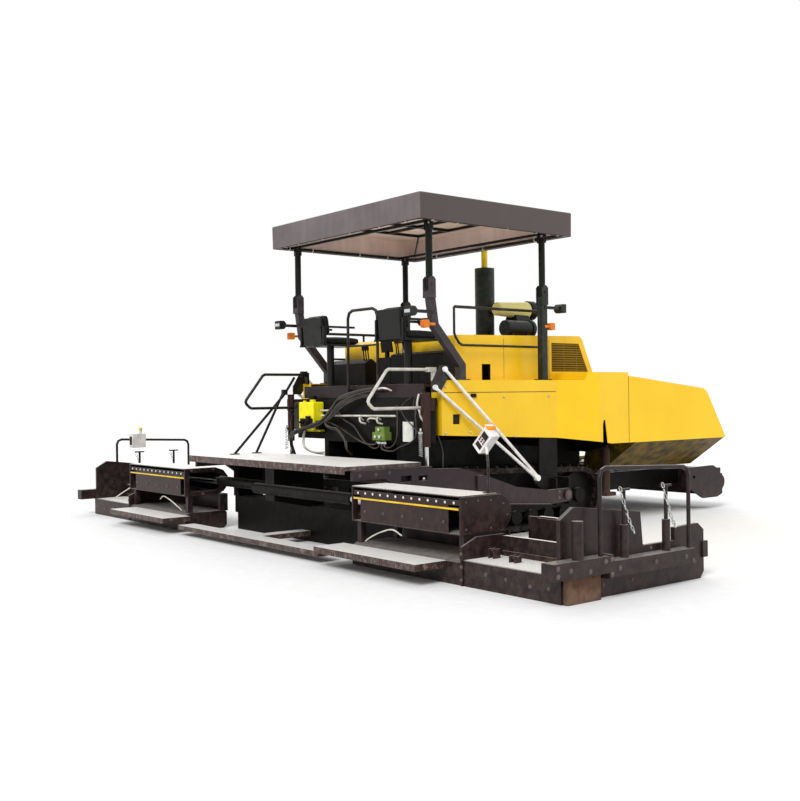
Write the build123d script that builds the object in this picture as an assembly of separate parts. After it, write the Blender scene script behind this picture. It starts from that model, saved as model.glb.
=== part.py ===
"""Tracked concrete paver with a 9 m screed, in millimetres.

The machine frame used in this file has +X forward (the way it paves), +Y to the
machine's left, +Z up, X = 0 at the rear edge of the operator's deck, Y = 0 on the
centre line and Z = 0 on the ground. What is written out is moved along X so that
the origin lies under the middle of the machine. Left-hand pieces are modelled at
positive Y and mirrored for the right.
"""

import math
import os

from build123d import *

os.makedirs("parts", exist_ok=True)

# Overall places
rear_reach = 1750           # rear edge of the footboards, behind the deck's edge
front_reach = 5460          # front of the push rollers
half_width = 4500           # over the end beams
sides = (("left", 1), ("right", -1))

# Tractor body
body_half = 1330            # outside of the yellow side covers
hood_half = body_half - 280
deck_half = body_half - 170
deck_top = 1730
shelf_top = 1770
cover_low = 1090
sheet = 8                   # body panels
frame_inner = 660           # inside of the long frame beams
frame_outer = 740
frame_low = 330
tunnel_top = 1090

# Tracks
track_centre = body_half - 270
shoe_width = 320
track_rear_x = 480
track_front_x = 2460
sprocket_radius = 320       # to the inside of the chain
idler_radius = 285
chain_depth = 60
grouser_height = 28
grouser_width = 22
shoe_pitch = 150
seat = 0.3                  # gap at pieces that rest on each other

# Hopper
hopper_half = body_half + 270
hopper_rear_x = 2885        # seam between the fixed shoulder and the wing
apron_x = 2740
hopper_front_x = 4880
rim_rear = 1860
rim_front = 1660
hopper_side_low = 1005
wing_hinge_y = 700
wing_hinge_z = 650
wing_plate = 20
wing_floor_x = 3000
cylinder_x = 2800           # the standing cylinders that fold the wings
cylinder_y = hopper_half - 300
floor_half = 640            # conveyor floor between the wings
floor_top = 590

# Push rollers
roller_radius = 95
roller_x = front_reach - roller_radius
roller_z = 360
roller_inner = 90
roller_outer = 1190
roller_pin = 28

# Lashing eyes in the push beam's ends
lashing_x = 4680
lashing_z = 460
lashing_hole = 25

# Auger
auger_x = -176
auger_z = 370
auger_radius = 165
auger_inner = 150
auger_outer = body_half + 110
auger_pitch = 330
auger_shaft = 45
auger_journal = 30
auger_blade = 14            # thickness of a flight's blades
auger_turn = 6              # blades in one turn

# Screed
arm_y = body_half + 230
arm_thick = 40
end_frame = 60              # depth of the frames between the main screed's ends and the arms
main_half = arm_y - end_frame
main_front_x = -400
main_rear_x = -780
main_top = 400
walk_top = 925
walk_half = arm_y + 20
walk_front_x = -420
screed_rear_x = -1390
ext_inner = arm_y + arm_thick + 100
ext_outer = 3250
ext_front_x = -800
box_low = 420
box_top = 750
end_plate_thick = 40
end_beam = 130              # width of the beams outside the end plates
bolt_outer = half_width - end_beam - end_plate_thick
low_box_top = 215
guide_z = 600
guide_radius = 45
guide_lines = ((-1010, 1), (-1230, -1))     # X of the guide tube and the side it serves
board_depth = 60
tow_x = 1750
tow_z = 450
tow_pin = 25

# Canopy
canopy_centre_x = 891
canopy_length = 2347
post_y = body_half - 65
canopy_half = post_y + 182
canopy_top = 3740
fascia = 280
cover_thick = 8
post_radius = 38
rear_pin_x = -10
front_pin_x = 1730
pin_z = 2800
top_pin_z = canopy_top - fascia - 55
seat_z = 2240               # underside of the seat cushions
pin_radius = 12
pin_play = 0.05             # running fit on every pivot

# Lift cylinders
lift_x = -110
lift_y = body_half - 20
lift_eye_z = 700
lift_rod = 22

# Exhaust
stack_x = 2160
stack_y = 160
muffler_radius = 128

tube = 17                   # radius of the handrails
grab_y = body_half - 110
rail_y = deck_half - 40
steering_radius = 95
origin_x = (front_reach - rear_reach) / 2

hood_outline = [(560, shelf_top), (545, 2250), (590, 2285), (2610, 2320), (2660, 2290),
                (hopper_rear_x - 20, rim_rear), (hopper_rear_x - 20, shelf_top)]


def block(x0, x1, y0, y1, z0, z1):
    """A box between two corners."""
    size = (x1 - x0, y1 - y0, z1 - z0)
    return Pos((x0 + x1) / 2, (y0 + y1) / 2, (z0 + z1) / 2) * Box(*size)


def outline_face(points, corner):
    """A closed outline as a face, its corners rounded by one radius."""
    face = make_face(Polyline(*points, close=True))
    return fillet(face.vertices(), corner) if corner else face


def side_plate(outline, y0, y1, corner=0):
    """An outline of X, Z points made thick from y0 up to y1."""
    plane = Plane(origin=(0, y1, 0), x_dir=(1, 0, 0), z_dir=(0, -1, 0))
    return extrude(plane * outline_face(outline, corner), amount=y1 - y0)


def cross_plate(outline, x0, x1, corner=0):
    """An outline of Y, Z points made thick from x0 up to x1."""
    plane = Plane(origin=(x0, 0, 0), x_dir=(0, 1, 0), z_dir=(1, 0, 0))
    return extrude(plane * outline_face(outline, corner), amount=x1 - x0)


def plan_plate(outline, z0, z1, corner=0):
    """An outline of X, Y points made thick from z0 up to z1."""
    return extrude(Plane.XY.offset(z0) * outline_face(outline, corner), amount=z1 - z0)


def rod(start, end, radius):
    """A round bar between two points."""
    a, b = Vector(*start), Vector(*end)
    return extrude(Plane(origin=a, z_dir=b - a) * Circle(radius), amount=(b - a).length)


def pipe(start, end, radius, bore):
    """A round tube between two points."""
    return rod(start, end, radius) - rod(start, end, bore)


def bent_points(points, bend, step=45):
    """The points with each corner turned on a radius, in straight runs of about step degrees."""
    corners = [Vector(*point) for point in points]
    path = [corners[0]]
    for before, corner, after in zip(corners, corners[1:], corners[2:]):
        into, onward = (corner - before).normalized(), (after - corner).normalized()
        turn = math.acos(max(-1, min(1, into.dot(onward))))
        first = corner - into * (bend * math.tan(turn / 2))
        inward = (onward - into * into.dot(onward)).normalized()
        runs = max(1, round(math.degrees(turn) / step))
        for index in range(runs + 1):
            angle = turn * index / runs
            path.append(first + into * (bend * math.sin(angle)) + inward * (bend * (1 - math.cos(angle))))
    return path + [corners[-1]]


def rail(points, bend, radius=tube):
    """A bent round bar through the points, mitred at the short runs of its bends."""
    path = Polyline(*bent_points(points, bend))
    section = Plane(origin=path @ 0, z_dir=path % 0) * Circle(radius)
    return sweep(section, path=path, transition=Transition.RIGHT)


def band(points, width):
    """The outline of a strip of one width along X, Z points, mitred at its bends."""
    runs = [Vector(b[0] - a[0], b[1] - a[1]).normalized() for a, b in zip(points, points[1:])]
    left, right = [], []
    for index, point in enumerate(points):
        into = runs[max(index - 1, 0)]
        onward = runs[min(index, len(runs) - 1)]
        middle = (into + onward).normalized()
        reach = width / 2 / (middle.X * into.X + middle.Y * into.Y)
        left.append((point[0] - middle.Y * reach, point[1] + middle.X * reach))
        right.append((point[0] + middle.Y * reach, point[1] - middle.X * reach))
    return left + right[::-1]


def sided(shape, sign):
    """The left-hand shape for +1, or its mirror image for -1."""
    return shape if sign > 0 else mirror(shape, about=Plane.XZ)


def save(name, *shapes):
    """Write one node, moved so that the origin lies under the machine's middle."""
    pieces = [Pos(-origin_x, 0, 0) * solid for shape in shapes for solid in shape.solids()]
    whole = Compound(children=pieces) if len(pieces) > 1 else pieces[0]
    export_step(whole, f"parts/{name}.step")


def both(shape):
    """A left-hand shape and its mirror image."""
    return [shape, mirror(shape, about=Plane.XZ)]


# Tracks
def shoe_corners(rear_radius, front_radius, ground):
    """The corners between the shoes, round the loop seen from the machine's right."""
    rear_z, front_z = ground + rear_radius, ground + front_radius
    rear_count = round(math.pi * rear_radius / shoe_pitch)
    front_count = round(math.pi * front_radius / shoe_pitch)
    flat_count = round((track_front_x - track_rear_x) / shoe_pitch)
    corners = []
    for step in range(rear_count):
        angle = math.pi / 2 + math.pi * step / rear_count
        corners.append((track_rear_x + rear_radius * math.cos(angle),
                        rear_z + rear_radius * math.sin(angle)))
    for step in range(flat_count):
        corners.append((track_rear_x + (track_front_x - track_rear_x) * step / flat_count, ground))
    for step in range(front_count):
        angle = -math.pi / 2 + math.pi * step / front_count
        corners.append((track_front_x + front_radius * math.cos(angle),
                        front_z + front_radius * math.sin(angle)))
    for step in range(flat_count):
        share = step / flat_count
        corners.append((track_front_x + (track_rear_x - track_front_x) * share,
                        front_z + front_radius + (rear_z + rear_radius - front_z - front_radius) * share))
    return corners


def with_grousers(corners):
    """The loop's outline with one bar standing on the middle of each shoe."""
    outline = []
    for a, b in zip(corners, corners[1:] + corners[:1]):
        length = math.dist(a, b)
        along = ((b[0] - a[0]) / length, (b[1] - a[1]) / length)
        out = (along[1], -along[0])
        outline.append(a)
        for shift, rise in ((-1, 0), (-1, 1), (1, 1), (1, 0)):
            reach = length / 2 + shift * grouser_width / 2
            outline.append((a[0] + along[0] * reach + out[0] * grouser_height * rise,
                            a[1] + along[1] * reach + out[1] * grouser_height * rise))
    return outline


def track():
    """One loop of track with its shoes in its outline."""
    outer = shoe_corners(sprocket_radius + chain_depth, idler_radius + chain_depth, grouser_height)
    inner = shoe_corners(sprocket_radius, idler_radius, grouser_height + chain_depth)
    low, high = track_centre - shoe_width / 2, track_centre + shoe_width / 2
    loop = side_plate(with_grousers(outer), low, high)
    return loop - side_plate(inner, low - 1, high + 1)


def chord_radius(radius):
    """The largest wheel that fits inside an end of the loop, less its seat."""
    count = round(math.pi * radius / shoe_pitch)
    return radius * math.cos(math.pi / 2 / count) - seat


def track_frame():
    """The beam inside a track, with its sprocket, idler and rollers."""
    ground = grouser_height + chain_depth
    low, high = track_centre - 70, track_centre + 70
    beam = side_plate([(track_rear_x + 60, 300), (track_rear_x + 300, 430),
                       (track_front_x - 250, 430), (track_front_x, 350),
                       (track_front_x, 250), (track_rear_x + 300, 210)], low, high)
    frame = beam
    wheels = [(track_rear_x, ground + sprocket_radius, chord_radius(sprocket_radius), 55),
              (track_front_x, ground + idler_radius, chord_radius(idler_radius), 60)]
    for wheel_x, wheel_z, radius, half in wheels:
        disc = rod((wheel_x, track_centre - half, wheel_z), (wheel_x, track_centre + half, wheel_z), radius)
        hub = rod((wheel_x, low - 30, wheel_z), (wheel_x, high + 45, wheel_z), 90)
        frame = frame + disc + hub
    roller = 85
    count = 6
    for index in range(count):
        x = track_rear_x + 360 + index * (track_front_x - track_rear_x - 640) / (count - 1)
        z = ground + roller + seat
        frame = frame + rod((x, low - 35, z), (x, high + 35, z), roller)
    return frame


# Chassis
def chassis_frame():
    """Long beams, cross members, tunnel roof, rear wall and the carriers of the tracks."""
    beam = side_plate([(0, frame_low), (0, tunnel_top), (apron_x, tunnel_top), (apron_x, 560),
                       (5000, 560), (5000, frame_low)], frame_inner, frame_outer)
    frame = beam + mirror(beam, about=Plane.XZ)
    frame += block(0, apron_x, -frame_outer, frame_outer, tunnel_top - 20, tunnel_top)
    for x in (260, 1500, 2700, 3900, 4700):
        frame += block(x, x + 120, -frame_inner, frame_inner, frame_low, frame_low + 120)
    for x in (860, 1900):
        reach = track_centre - 70
        frame += block(x, x + 160, -reach, reach, 300, 400)
    rear_wall = cross_plate([(-body_half + sheet, tunnel_top + 5), (body_half - sheet, tunnel_top + 5),
                             (body_half - sheet, 1580), (-body_half + sheet, 1580)], 0, 12)
    frame += rear_wall + block(0, 90, -frame_outer, frame_outer, tunnel_top - 20, 1400)
    frame += block(12, 60, -body_half + 40, body_half - 40, 1500, 1580)
    for sign in (1, -1):
        arm = block(1650, 1850, frame_outer - 5, body_half - 30, 1000, 1080)
        drop = side_plate([(1600, 330), (1600, 1120), (1900, 1120), (1900, 330)], body_half - 40, body_half - 12)
        cheeks = [block(x, x + 25, body_half - 13, arm_y - 15, 330, 640) for x in (1630, 1845)]
        web = block(1640, 1860, body_half - 13, body_half + 10, 330, 640)
        pin = rod((tow_x, body_half, tow_z), (tow_x, arm_y + arm_thick + 25, tow_z), tow_pin)
        lug = side_plate([(1640, 420), (1640, 640), (1390, 700), (1330, 660), (1350, 600)], arm_y - 105, arm_y - 85)
        corner = arm + drop + web + pin + lug
        for cheek in cheeks:
            corner += cheek
        frame += sided(corner, sign)
    return frame


# Yellow body
def side_cover():
    """The yellow side: a flat skirt, the flare to the hopper and the shelf on top."""
    wall = [(90, body_half), (1900, body_half), (2330, hopper_half), (hopper_rear_x - 12, hopper_half),
            (hopper_rear_x - 12, hopper_half - sheet), (2332, hopper_half - sheet),
            (1902, body_half - sheet), (90 + sheet, body_half - sheet), (90 + sheet, deck_half + 2),
            (90, deck_half + 2)]
    skirt = plan_plate(wall, 960, rim_rear)
    low_cut = side_plate([(0, 900), (0, 1180), (1900, cover_low), (2560, hopper_side_low),
                          (2950, hopper_side_low), (2950, 900)],
                         900, hopper_half + 100)
    top_cut = side_plate([(0, shelf_top), (0, 1900), (2230, 1900), (2180, shelf_top)], 900, hopper_half + 100)
    slot = side_plate([(2395, 900), (2395, 1240), (2410, 1290), (2440, 1290), (2500, 900)],
                      hopper_half - 100, hopper_half + 100)
    groove = block(80, 1880, body_half - 3, body_half + 1, 1632, 1638)
    shelf = plan_plate([(90, deck_half + 2), (90, body_half), (1900, body_half),
                        (2180, hopper_half - 95), (2180, hood_half), (560, hood_half), (560, deck_half + 2)],
                       shelf_top - sheet, shelf_top)
    cap = plan_plate([(2205, hood_half), (2205, hopper_half - 80), (2330, hopper_half - sheet / 2),
                      (hopper_rear_x - 12, hopper_half - sheet / 2), (hopper_rear_x - 12, hood_half)],
                     rim_rear - sheet, rim_rear)
    step = cross_plate([(hood_half, shelf_top - sheet), (hopper_half - 85, shelf_top - sheet),
                        (hopper_half - 72, rim_rear), (hood_half, rim_rear)], 2190, 2190 + sheet)
    cover = (skirt - low_cut - top_cut - slot - groove) + shelf + cap + step
    box = block(242, 368, body_half - 30, body_half - 2, 1282, 1408)
    return cover + box - block(250, 360, body_half - 22, body_half + 1, 1290, 1400)


def hood():
    """The engine hood, a shell open below, with its grille windows and side slots cut."""
    inner = [(560 + sheet, shelf_top - 5), (545 + sheet, 2245), (594, 2277), (2606, 2312),
             (2653, 2285), (hopper_rear_x - 28, rim_rear - 2), (hopper_rear_x - 28, shelf_top - 5)]
    shell = side_plate(hood_outline, -hood_half, hood_half)
    shell -= side_plate(inner, -hood_half + sheet, hood_half - sheet)
    window = side_plate([(2110, 1880), (2110, 2225), (2600, 2225), (2770, 1880)],
                        -hood_half - 5, hood_half + 5)
    slot = block(950, 1090, -hood_half - 5, hood_half + 5, shelf_top + 5, 1960)
    return shell - window - slot


def grille():
    """One side's radiator grille: slats let into the hood's window, on two uprights."""
    low, high = hood_half - 14, hood_half - 2
    slats = None
    count = 12
    for index in range(count):
        z = 1892 + index * 28
        reach = 2770 - (z + 14 - 1880) * 170 / 345
        slat = block(2110, reach, low, high, z, z + 14)
        slats = slat if slats is None else slats + slat
    for x in (2110, 2330, 2560):
        slats = slats + block(x, x + 14, low - 6, high - 6, 1880, 2225)
    return slats


def engine():
    """The engine as one plain block on the tunnel roof."""
    return block(1150, 2450, -480, 480, tunnel_top, 1980)


# Deck
def deck():
    """The operator's platform with its rear fascia and the side boxes under it."""
    plate = block(0, 552, -deck_half, deck_half, deck_top - 30, deck_top)
    apron = block(-6, 6, -deck_half, deck_half, 1590, deck_top)
    beams = block(20, 80, -deck_half + 60, deck_half - 60, 1580, deck_top - 30)
    return plate + apron + beams


def consoles():
    """The cross console and the two side boxes beneath the seats."""
    front = side_plate([(330, deck_top), (330, 2080), (420, 2110), (500, 2060), (500, deck_top)],
                       -1080, -160, 20)
    box = block(330, 470, -150, 90, deck_top, 2060)
    left = side_plate([(300, deck_top), (300, 2000), (400, 2060), (480, 2000), (480, deck_top)],
                      300, 1050, 20)
    for y in (-1045, -225, -190):
        front += lever(400, y, 2080, 150)
    for y in (340, 385, 430):
        left += lever(390, y, 2020, 150)
    column = Vector(425, -355, 2060)
    lean = Vector(-0.35, 0, 1).normalized()
    wheel_at = column + lean * 190
    dial = Plane(origin=wheel_at, z_dir=lean)
    wheel = extrude(dial * (Circle(steering_radius) - Circle(steering_radius - 24)), amount=24)
    wheel += extrude(dial * Rectangle(steering_radius * 2 - 20, 30), amount=10)
    wheel += extrude(dial * Circle(38), amount=30)
    front += wheel + rod(tuple(column), tuple(wheel_at + lean * 10), 22)
    screen = side_plate([(372, 2120), (352, 2260), (372, 2264), (396, 2124)], -130, 70, 5)
    box += screen + block(360, 400, -50, -10, 2040, 2140)
    return [front, box, left]


def lever(x, y, z, height):
    """A control lever with its grip, standing on a console."""
    return rod((x, y, z), (x - 20, y, z + height), 8) + rod((x - 20, y, z + height - 10), (x - 26, y, z + height + 45), 17)


def seat_frame(y):
    """A pedestal, a seat pan, a back plate and two arms of one operator's seat."""
    post = rod((110, y, deck_top), (110, y, seat_z - 25), 45)
    foot = block(10, 210, y - 110, y + 110, deck_top, deck_top + 12)
    pan = block(-100, 400, y - 220, y + 220, seat_z - 25, seat_z)
    back = side_plate([(-150, seat_z - 10), (-170, seat_z + 320), (-145, seat_z + 325),
                       (-100, seat_z), (-60, seat_z - 25), (-120, seat_z - 25)], y - 190, y + 190)
    frame = post + foot + pan + back
    for side in (-250, 225):
        arm = block(-130, 300, y + side, y + side + 25, seat_z + 190, seat_z + 215)
        stem = block(-165, -120, y + side, y + side + 25, seat_z - 20, seat_z + 215)
        lug = block(-150, -110, y + min(side, side - 35), y + max(side + 25, side + 60), seat_z - 25, seat_z)
        frame = frame + arm + stem + lug
    return frame


def seat_cushion(y):
    """The upholstered seat and back of one seat, as plain closed solids."""
    cushion = block(-90, 420, y - 215, y + 215, seat_z + seat, seat_z + 100)
    back = side_plate([(-114.2, seat_z + 105), (-144.6, seat_z + 325), (-130, seat_z + 348), (-60, seat_z + 350),
                       (10, seat_z + 125)], y - 185, y + 185)
    return [cushion, back]


# Handrails
def handrails():
    """The ladder loop, the rear grab loops and the rails round the deck."""
    pieces = []
    ladder = rail([(-50, 170, deck_top - 60), (-50, 160, 2605), (-50, -400, 2605), (-50, -400, deck_top - 60)], 90)
    rung = rod((-50, 165, 2190), (-50, -400, 2190), 11)
    lugs = block(-70, -6, 150, 190, 1650, 1690) + block(-70, -6, -420, -380, 1650, 1690)
    pieces.append(ladder + rung + lugs)
    grab = rail([(50, grab_y, 1885), (-560, grab_y, 1885), (-830, grab_y, 1550), (-750, grab_y, 1475),
                 (-4, grab_y, 1475)], 40)
    lug = block(-14, 90, grab_y - 30, grab_y + 30, 1860, 1910) + block(60, 90, grab_y - 30, grab_y + 30, shelf_top, 1910)
    plate = block(-14, 0, grab_y - 40, grab_y + 42, 1450, 1580)
    for shape in both(grab + lug + plate):
        pieces.append(shape)
    hood_rail = rail([(1880, -rail_y, shelf_top), (1880, -rail_y, 2590), (480, -rail_y, 2590)], 110)
    hood_low = rail([(1875, -rail_y, 2165), (560, -rail_y, 2165), (470, -rail_y, 2280), (470, -rail_y, 2590)], 60, 14)
    pieces.append(hood_rail + hood_low)
    left_rail = rail([(1700, rail_y, shelf_top), (1700, rail_y, 2400), (60, rail_y, 2400)], 90)
    left_low = rod((1700, rail_y, 2080), (350, rail_y, 2080), 14)
    left_post = rod((900, rail_y, shelf_top), (900, rail_y, 2400), 14)
    pieces.append(left_rail + left_low + left_post)
    return pieces


# Canopy
def canopy_brackets():
    """The four fixed lower posts with a clevis on top of each."""
    pieces = []
    rear_line = [(rear_pin_x, 2720), (45, 2360), (430, 1930), (430, shelf_top)]
    front_line = [(front_pin_x, 2720), (front_pin_x, shelf_top)]
    for line, pin_x, width in ((rear_line, rear_pin_x, 85), (front_line, front_pin_x, 90)):
        post = side_plate(band(line, width), post_y - 38, post_y + 38)
        foot_x = line[-1][0]
        foot = block(foot_x - 85, foot_x + 85, post_y - 60, post_y + 60, shelf_top, shelf_top + 12)
        cheek = [(pin_x - 48, 2650), (pin_x - 48, 2850), (pin_x - 20, 2880), (pin_x + 20, 2880),
                 (pin_x + 48, 2850), (pin_x + 48, 2650)]
        inside = post_radius + 3
        cheeks = side_plate(cheek, post_y + inside, post_y + inside + 12)
        cheeks += side_plate(cheek, post_y - inside - 12, post_y - inside)
        filler = block(pin_x - 46, pin_x + 46, post_y - inside - 6, post_y + inside + 6, 2650, 2720)
        pin = rod((pin_x, post_y - inside - 25, pin_z), (pin_x, post_y + inside + 25, pin_z), pin_radius)
        pieces += both(post + foot + cheeks + filler + pin)
    return pieces


def canopy_post(pin_x):
    """One round upper post, bored for its pins at both ends."""
    post = rod((pin_x, post_y, pin_z - 45), (pin_x, post_y, top_pin_z + 28), post_radius)
    for z in (pin_z, top_pin_z):
        post -= rod((pin_x, post_y - 60, z), (pin_x, post_y + 60, z), pin_radius + pin_play)
    return post


def canopy_frame():
    """The roof's lower rectangle, its raised grid, the struts and the post lugs."""
    low_z = canopy_top - fascia + 22
    high_z = canopy_top - cover_thick - 16 - seat
    half_x, half_y = canopy_length / 2 - 60, canopy_half - 60
    x0, x1 = canopy_centre_x - half_x, canopy_centre_x + half_x
    turn = 70
    frame = rail([(canopy_centre_x, half_y, low_z), (x0, half_y, low_z), (x0, -half_y, low_z),
                  (canopy_centre_x, -half_y, low_z)], turn, 20)
    frame += rail([(canopy_centre_x, half_y, low_z), (x1, half_y, low_z), (x1, -half_y, low_z),
                   (canopy_centre_x, -half_y, low_z)], turn, 20)
    for x in (rear_pin_x, front_pin_x):
        frame += block(x - 16, x + 16, -half_y, half_y, low_z - 16, low_z + 16)
    grid_x, grid_y = 760, 880
    for share in (-1, -0.33, 0.33, 1):
        y = share * grid_y
        x = canopy_centre_x + share * grid_x
        low, high = high_z - 16, high_z + 16
        frame += block(canopy_centre_x - grid_x - 14, canopy_centre_x + grid_x + 14, y - 14, y + 14, low, high)
        frame += block(x - 14, x + 14, -grid_y, grid_y, low, high)
    for x in (canopy_centre_x - grid_x, canopy_centre_x + grid_x):
        for y in (-grid_y, grid_y):
            corner_x = x0 + 40 if x < canopy_centre_x else x1 - 40
            corner_y = math.copysign(half_y - 25, y)
            frame += rod((x, y, high_z), (corner_x, corner_y, low_z), 12)
    for pin_x in (rear_pin_x, front_pin_x):
        inside = post_radius + 3
        for sign in (1, -1):
            for y in (post_y + inside, post_y - inside - 8):
                lug = block(pin_x - 26, pin_x + 26, y, y + 8, top_pin_z - 28, low_z)
                frame += sided(lug, sign)
            pin = rod((pin_x, post_y - inside - 18, top_pin_z), (pin_x, post_y + inside + 18, top_pin_z),
                      pin_radius)
            frame += sided(pin, sign)
    return frame


def canopy_cover():
    """The fabric roof as a thin tray turned upside down."""
    x0, x1 = canopy_centre_x - canopy_length / 2, canopy_centre_x + canopy_length / 2
    outside = block(x0, x1, -canopy_half, canopy_half, canopy_top - fascia, canopy_top)
    inside = block(x0 + cover_thick, x1 - cover_thick, -canopy_half + cover_thick,
                   canopy_half - cover_thick, canopy_top - fascia - 1, canopy_top - cover_thick)
    return outside - inside


# Lamps on the lower posts: X of the post, reach from it, the lamp's middle Z
work_lamps = ((rear_pin_x + 30, -250, 2500), (front_pin_x, 255, 2620))
signal_lamps = ((rear_pin_x + 40, -135, 2370), (front_pin_x, 110, 2400))


def lamps():
    """Work lamps and signal lamps on flat arms that are bolted to the lower posts."""
    pieces = []
    plate_y = post_y + 38 + seat
    for post_x, reach, z in work_lamps:
        way = math.copysign(1, reach)
        x = post_x + reach
        arm = block(min(post_x, x), max(post_x, x), plate_y, plate_y + 8, z - 18, z + 18)
        neck, face = x + way * 30, x + way * 92
        body = side_plate([(x, z - 22), (x, z + 22), (neck, z + 52), (face, z + 52), (face, z - 52),
                           (neck, z - 52)], post_y - 55, post_y + 62, 6)
        pieces += both(arm + body)
    for post_x, reach, z in signal_lamps:
        x = post_x + reach
        arm = block(min(post_x, x), max(post_x, x), plate_y, plate_y + 8, z - 14, z + 14)
        body = side_plate([(x - 36, z - 42), (x - 36, z + 42), (x + 36, z + 42), (x + 36, z - 42)],
                          post_y, post_y + 66, 14)
        pieces += both(arm + body)
    return pieces


def rear_hydraulics():
    """The oil tank, the valve block and the cover plate on the tractor's rear wall."""
    tank = Pos(-90, 940, 1372) * fillet(Box(170, 420, 345).edges(), 22)
    tank += rod((-90, 850, 1540), (-90, 850, 1575), 38) + rod((-90, 1030, 1540), (-90, 1030, 1560), 24)
    foot = block(-60, -seat, 740, 1140, 1182, 1205)
    valve = block(-100, -seat, -570, -350, 1110, 1200) + block(-80, -seat, -540, -380, 1195, 1260)
    for y in (-530, -490, -430, -390):
        valve += rod((-60, y, 1120), (-60, y, 1085), 13)
    plate = block(-14, -seat, -960, -790, 1100, 1320)
    return [tank + foot, valve, plate]


# Exhaust
def exhaust():
    """Base cowl, muffler and tail pipe."""
    base = Pos(stack_x - 80, stack_y, 2260) * loft([Rectangle(900, 620), Pos(0, 0, 110) * Rectangle(600, 440)])
    base -= side_plate(hood_outline, -hood_half, hood_half)
    lower = rod((stack_x, stack_y, 2350), (stack_x, stack_y, 2760), muffler_radius - 6)
    upper = rod((stack_x, stack_y, 2740), (stack_x, stack_y, 3250), muffler_radius)
    tail = rail([(stack_x, stack_y, 3200), (stack_x, stack_y, 3520), (stack_x + 130, stack_y, 3600)], 60, 40)
    return base + lower + upper + tail


def air_cleaner():
    """The lying filter drum on its saddles, with the pre-cleaner tank behind it."""
    drum = rod((1980, -380, 2440), (2420, -380, 2440), 100)
    cap = rod((2400, -380, 2440), (2450, -380, 2440), 112)
    saddles = block(2050, 2090, -450, -310, 2290, 2400) + block(2310, 2350, -450, -310, 2290, 2400)
    tank = rod((2380, -100, 2560), (2620, -100, 2560), 105)
    stand = block(2460, 2540, -170, -30, 2290, 2500)
    solid_hood = side_plate(hood_outline, -hood_half, hood_half)
    return [(drum + cap + saddles) - solid_hood, (tank + stand) - solid_hood]


# Hopper
def conveyor():
    """The floor between the wings, the two slat chains on it and the rear wall's apron."""
    floor = block(40, 4995, -floor_half, floor_half, frame_low + 120, floor_top - 60)
    pieces = [floor]
    chains = None
    for y in (-600, -50, 10, 560):
        strand = block(120, 4960, y, y + 40, floor_top - 60, floor_top - 20)
        chains = strand if chains is None else chains + strand
    for index in range(24):
        x = 140 + index * 205
        chains += block(x, x + 30, -floor_half + 10, floor_half - 10, floor_top - 35, floor_top)
    pieces.append(chains)
    return pieces


def hopper_apron():
    """The hopper's fixed rear wall, the tunnel mouth in it and the cheeks beside the mouth."""
    half, shoulder, top = hopper_half - 90, hood_half + 5, shelf_top - 2
    wall = cross_plate([(-half, 1010), (-hood_half, 880), (-frame_outer, 880), (-frame_outer, 1092),
                        (frame_outer, 1092), (frame_outer, 880), (hood_half, 880), (half, 1010),
                        (half, rim_rear - 20), (shoulder, rim_rear - 20), (shoulder, top),
                        (-shoulder, top), (-shoulder, rim_rear - 20), (-half, rim_rear - 20)],
                       apron_x + 1, apron_x + 13)
    cheek = block(apron_x, wing_floor_x - 6, frame_inner, 700, 560, 1300)
    ledge = block(apron_x + 1, hopper_rear_x - 20, -hood_half, hood_half, top - 12, top)
    return wall + ledge + cheek + mirror(cheek, about=Plane.XZ)


def hopper_wing():
    """One folding wing: hinge tube, rising floor, tall side, rear plate and rim."""
    t = wing_plate
    x0, x1 = wing_floor_x, hopper_front_x
    floor = cross_plate([(wing_hinge_y, wing_hinge_z - t), (1060, wing_hinge_z - t),
                         (hopper_half, hopper_side_low), (hopper_half, hopper_side_low + t),
                         (1050, wing_hinge_z), (wing_hinge_y, wing_hinge_z)], x0, x1 - 30)
    side = side_plate([(hopper_rear_x, hopper_side_low), (hopper_rear_x, rim_rear - 45),
                       (hopper_rear_x + 60, rim_rear - 48), (4400, rim_front), (4490, rim_front - 55),
                       (x1, hopper_side_low)], hopper_half - t, hopper_half)
    rear = cross_plate([(wing_hinge_y + 40, wing_hinge_z), (1050, wing_hinge_z),
                        (hopper_half - 5, hopper_side_low), (hopper_half - 5, rim_rear - 80),
                        (wing_hinge_y + 240, 1500)], x0, x0 + t)
    rim = bar_rim()
    hinge = rod((x0, wing_hinge_y, wing_hinge_z), (x1 - 130, wing_hinge_y, wing_hinge_z), 30)
    lug = side_plate([(hopper_rear_x + 5, 1010), (hopper_rear_x + 5, 1050), (x0 + 5, 1060), (x0 + 5, 900)],
                     cylinder_y - 10, cylinder_y + 10)
    pin = rod((cylinder_x - 30, cylinder_y, 1030), (hopper_rear_x + 10, cylinder_y, 1030), 15)
    return floor + side + rear + rim + hinge + lug + pin


def bar_rim():
    """The turned-in lip along the top and down the front of a wing's side."""
    line = [(hopper_rear_x, rim_rear - 57), (4400, rim_front - 12), (4480, rim_front - 62),
            (hopper_front_x - 12, hopper_side_low + 12)]
    return side_plate(band(line, 24), hopper_half - 70, hopper_half)


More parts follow.
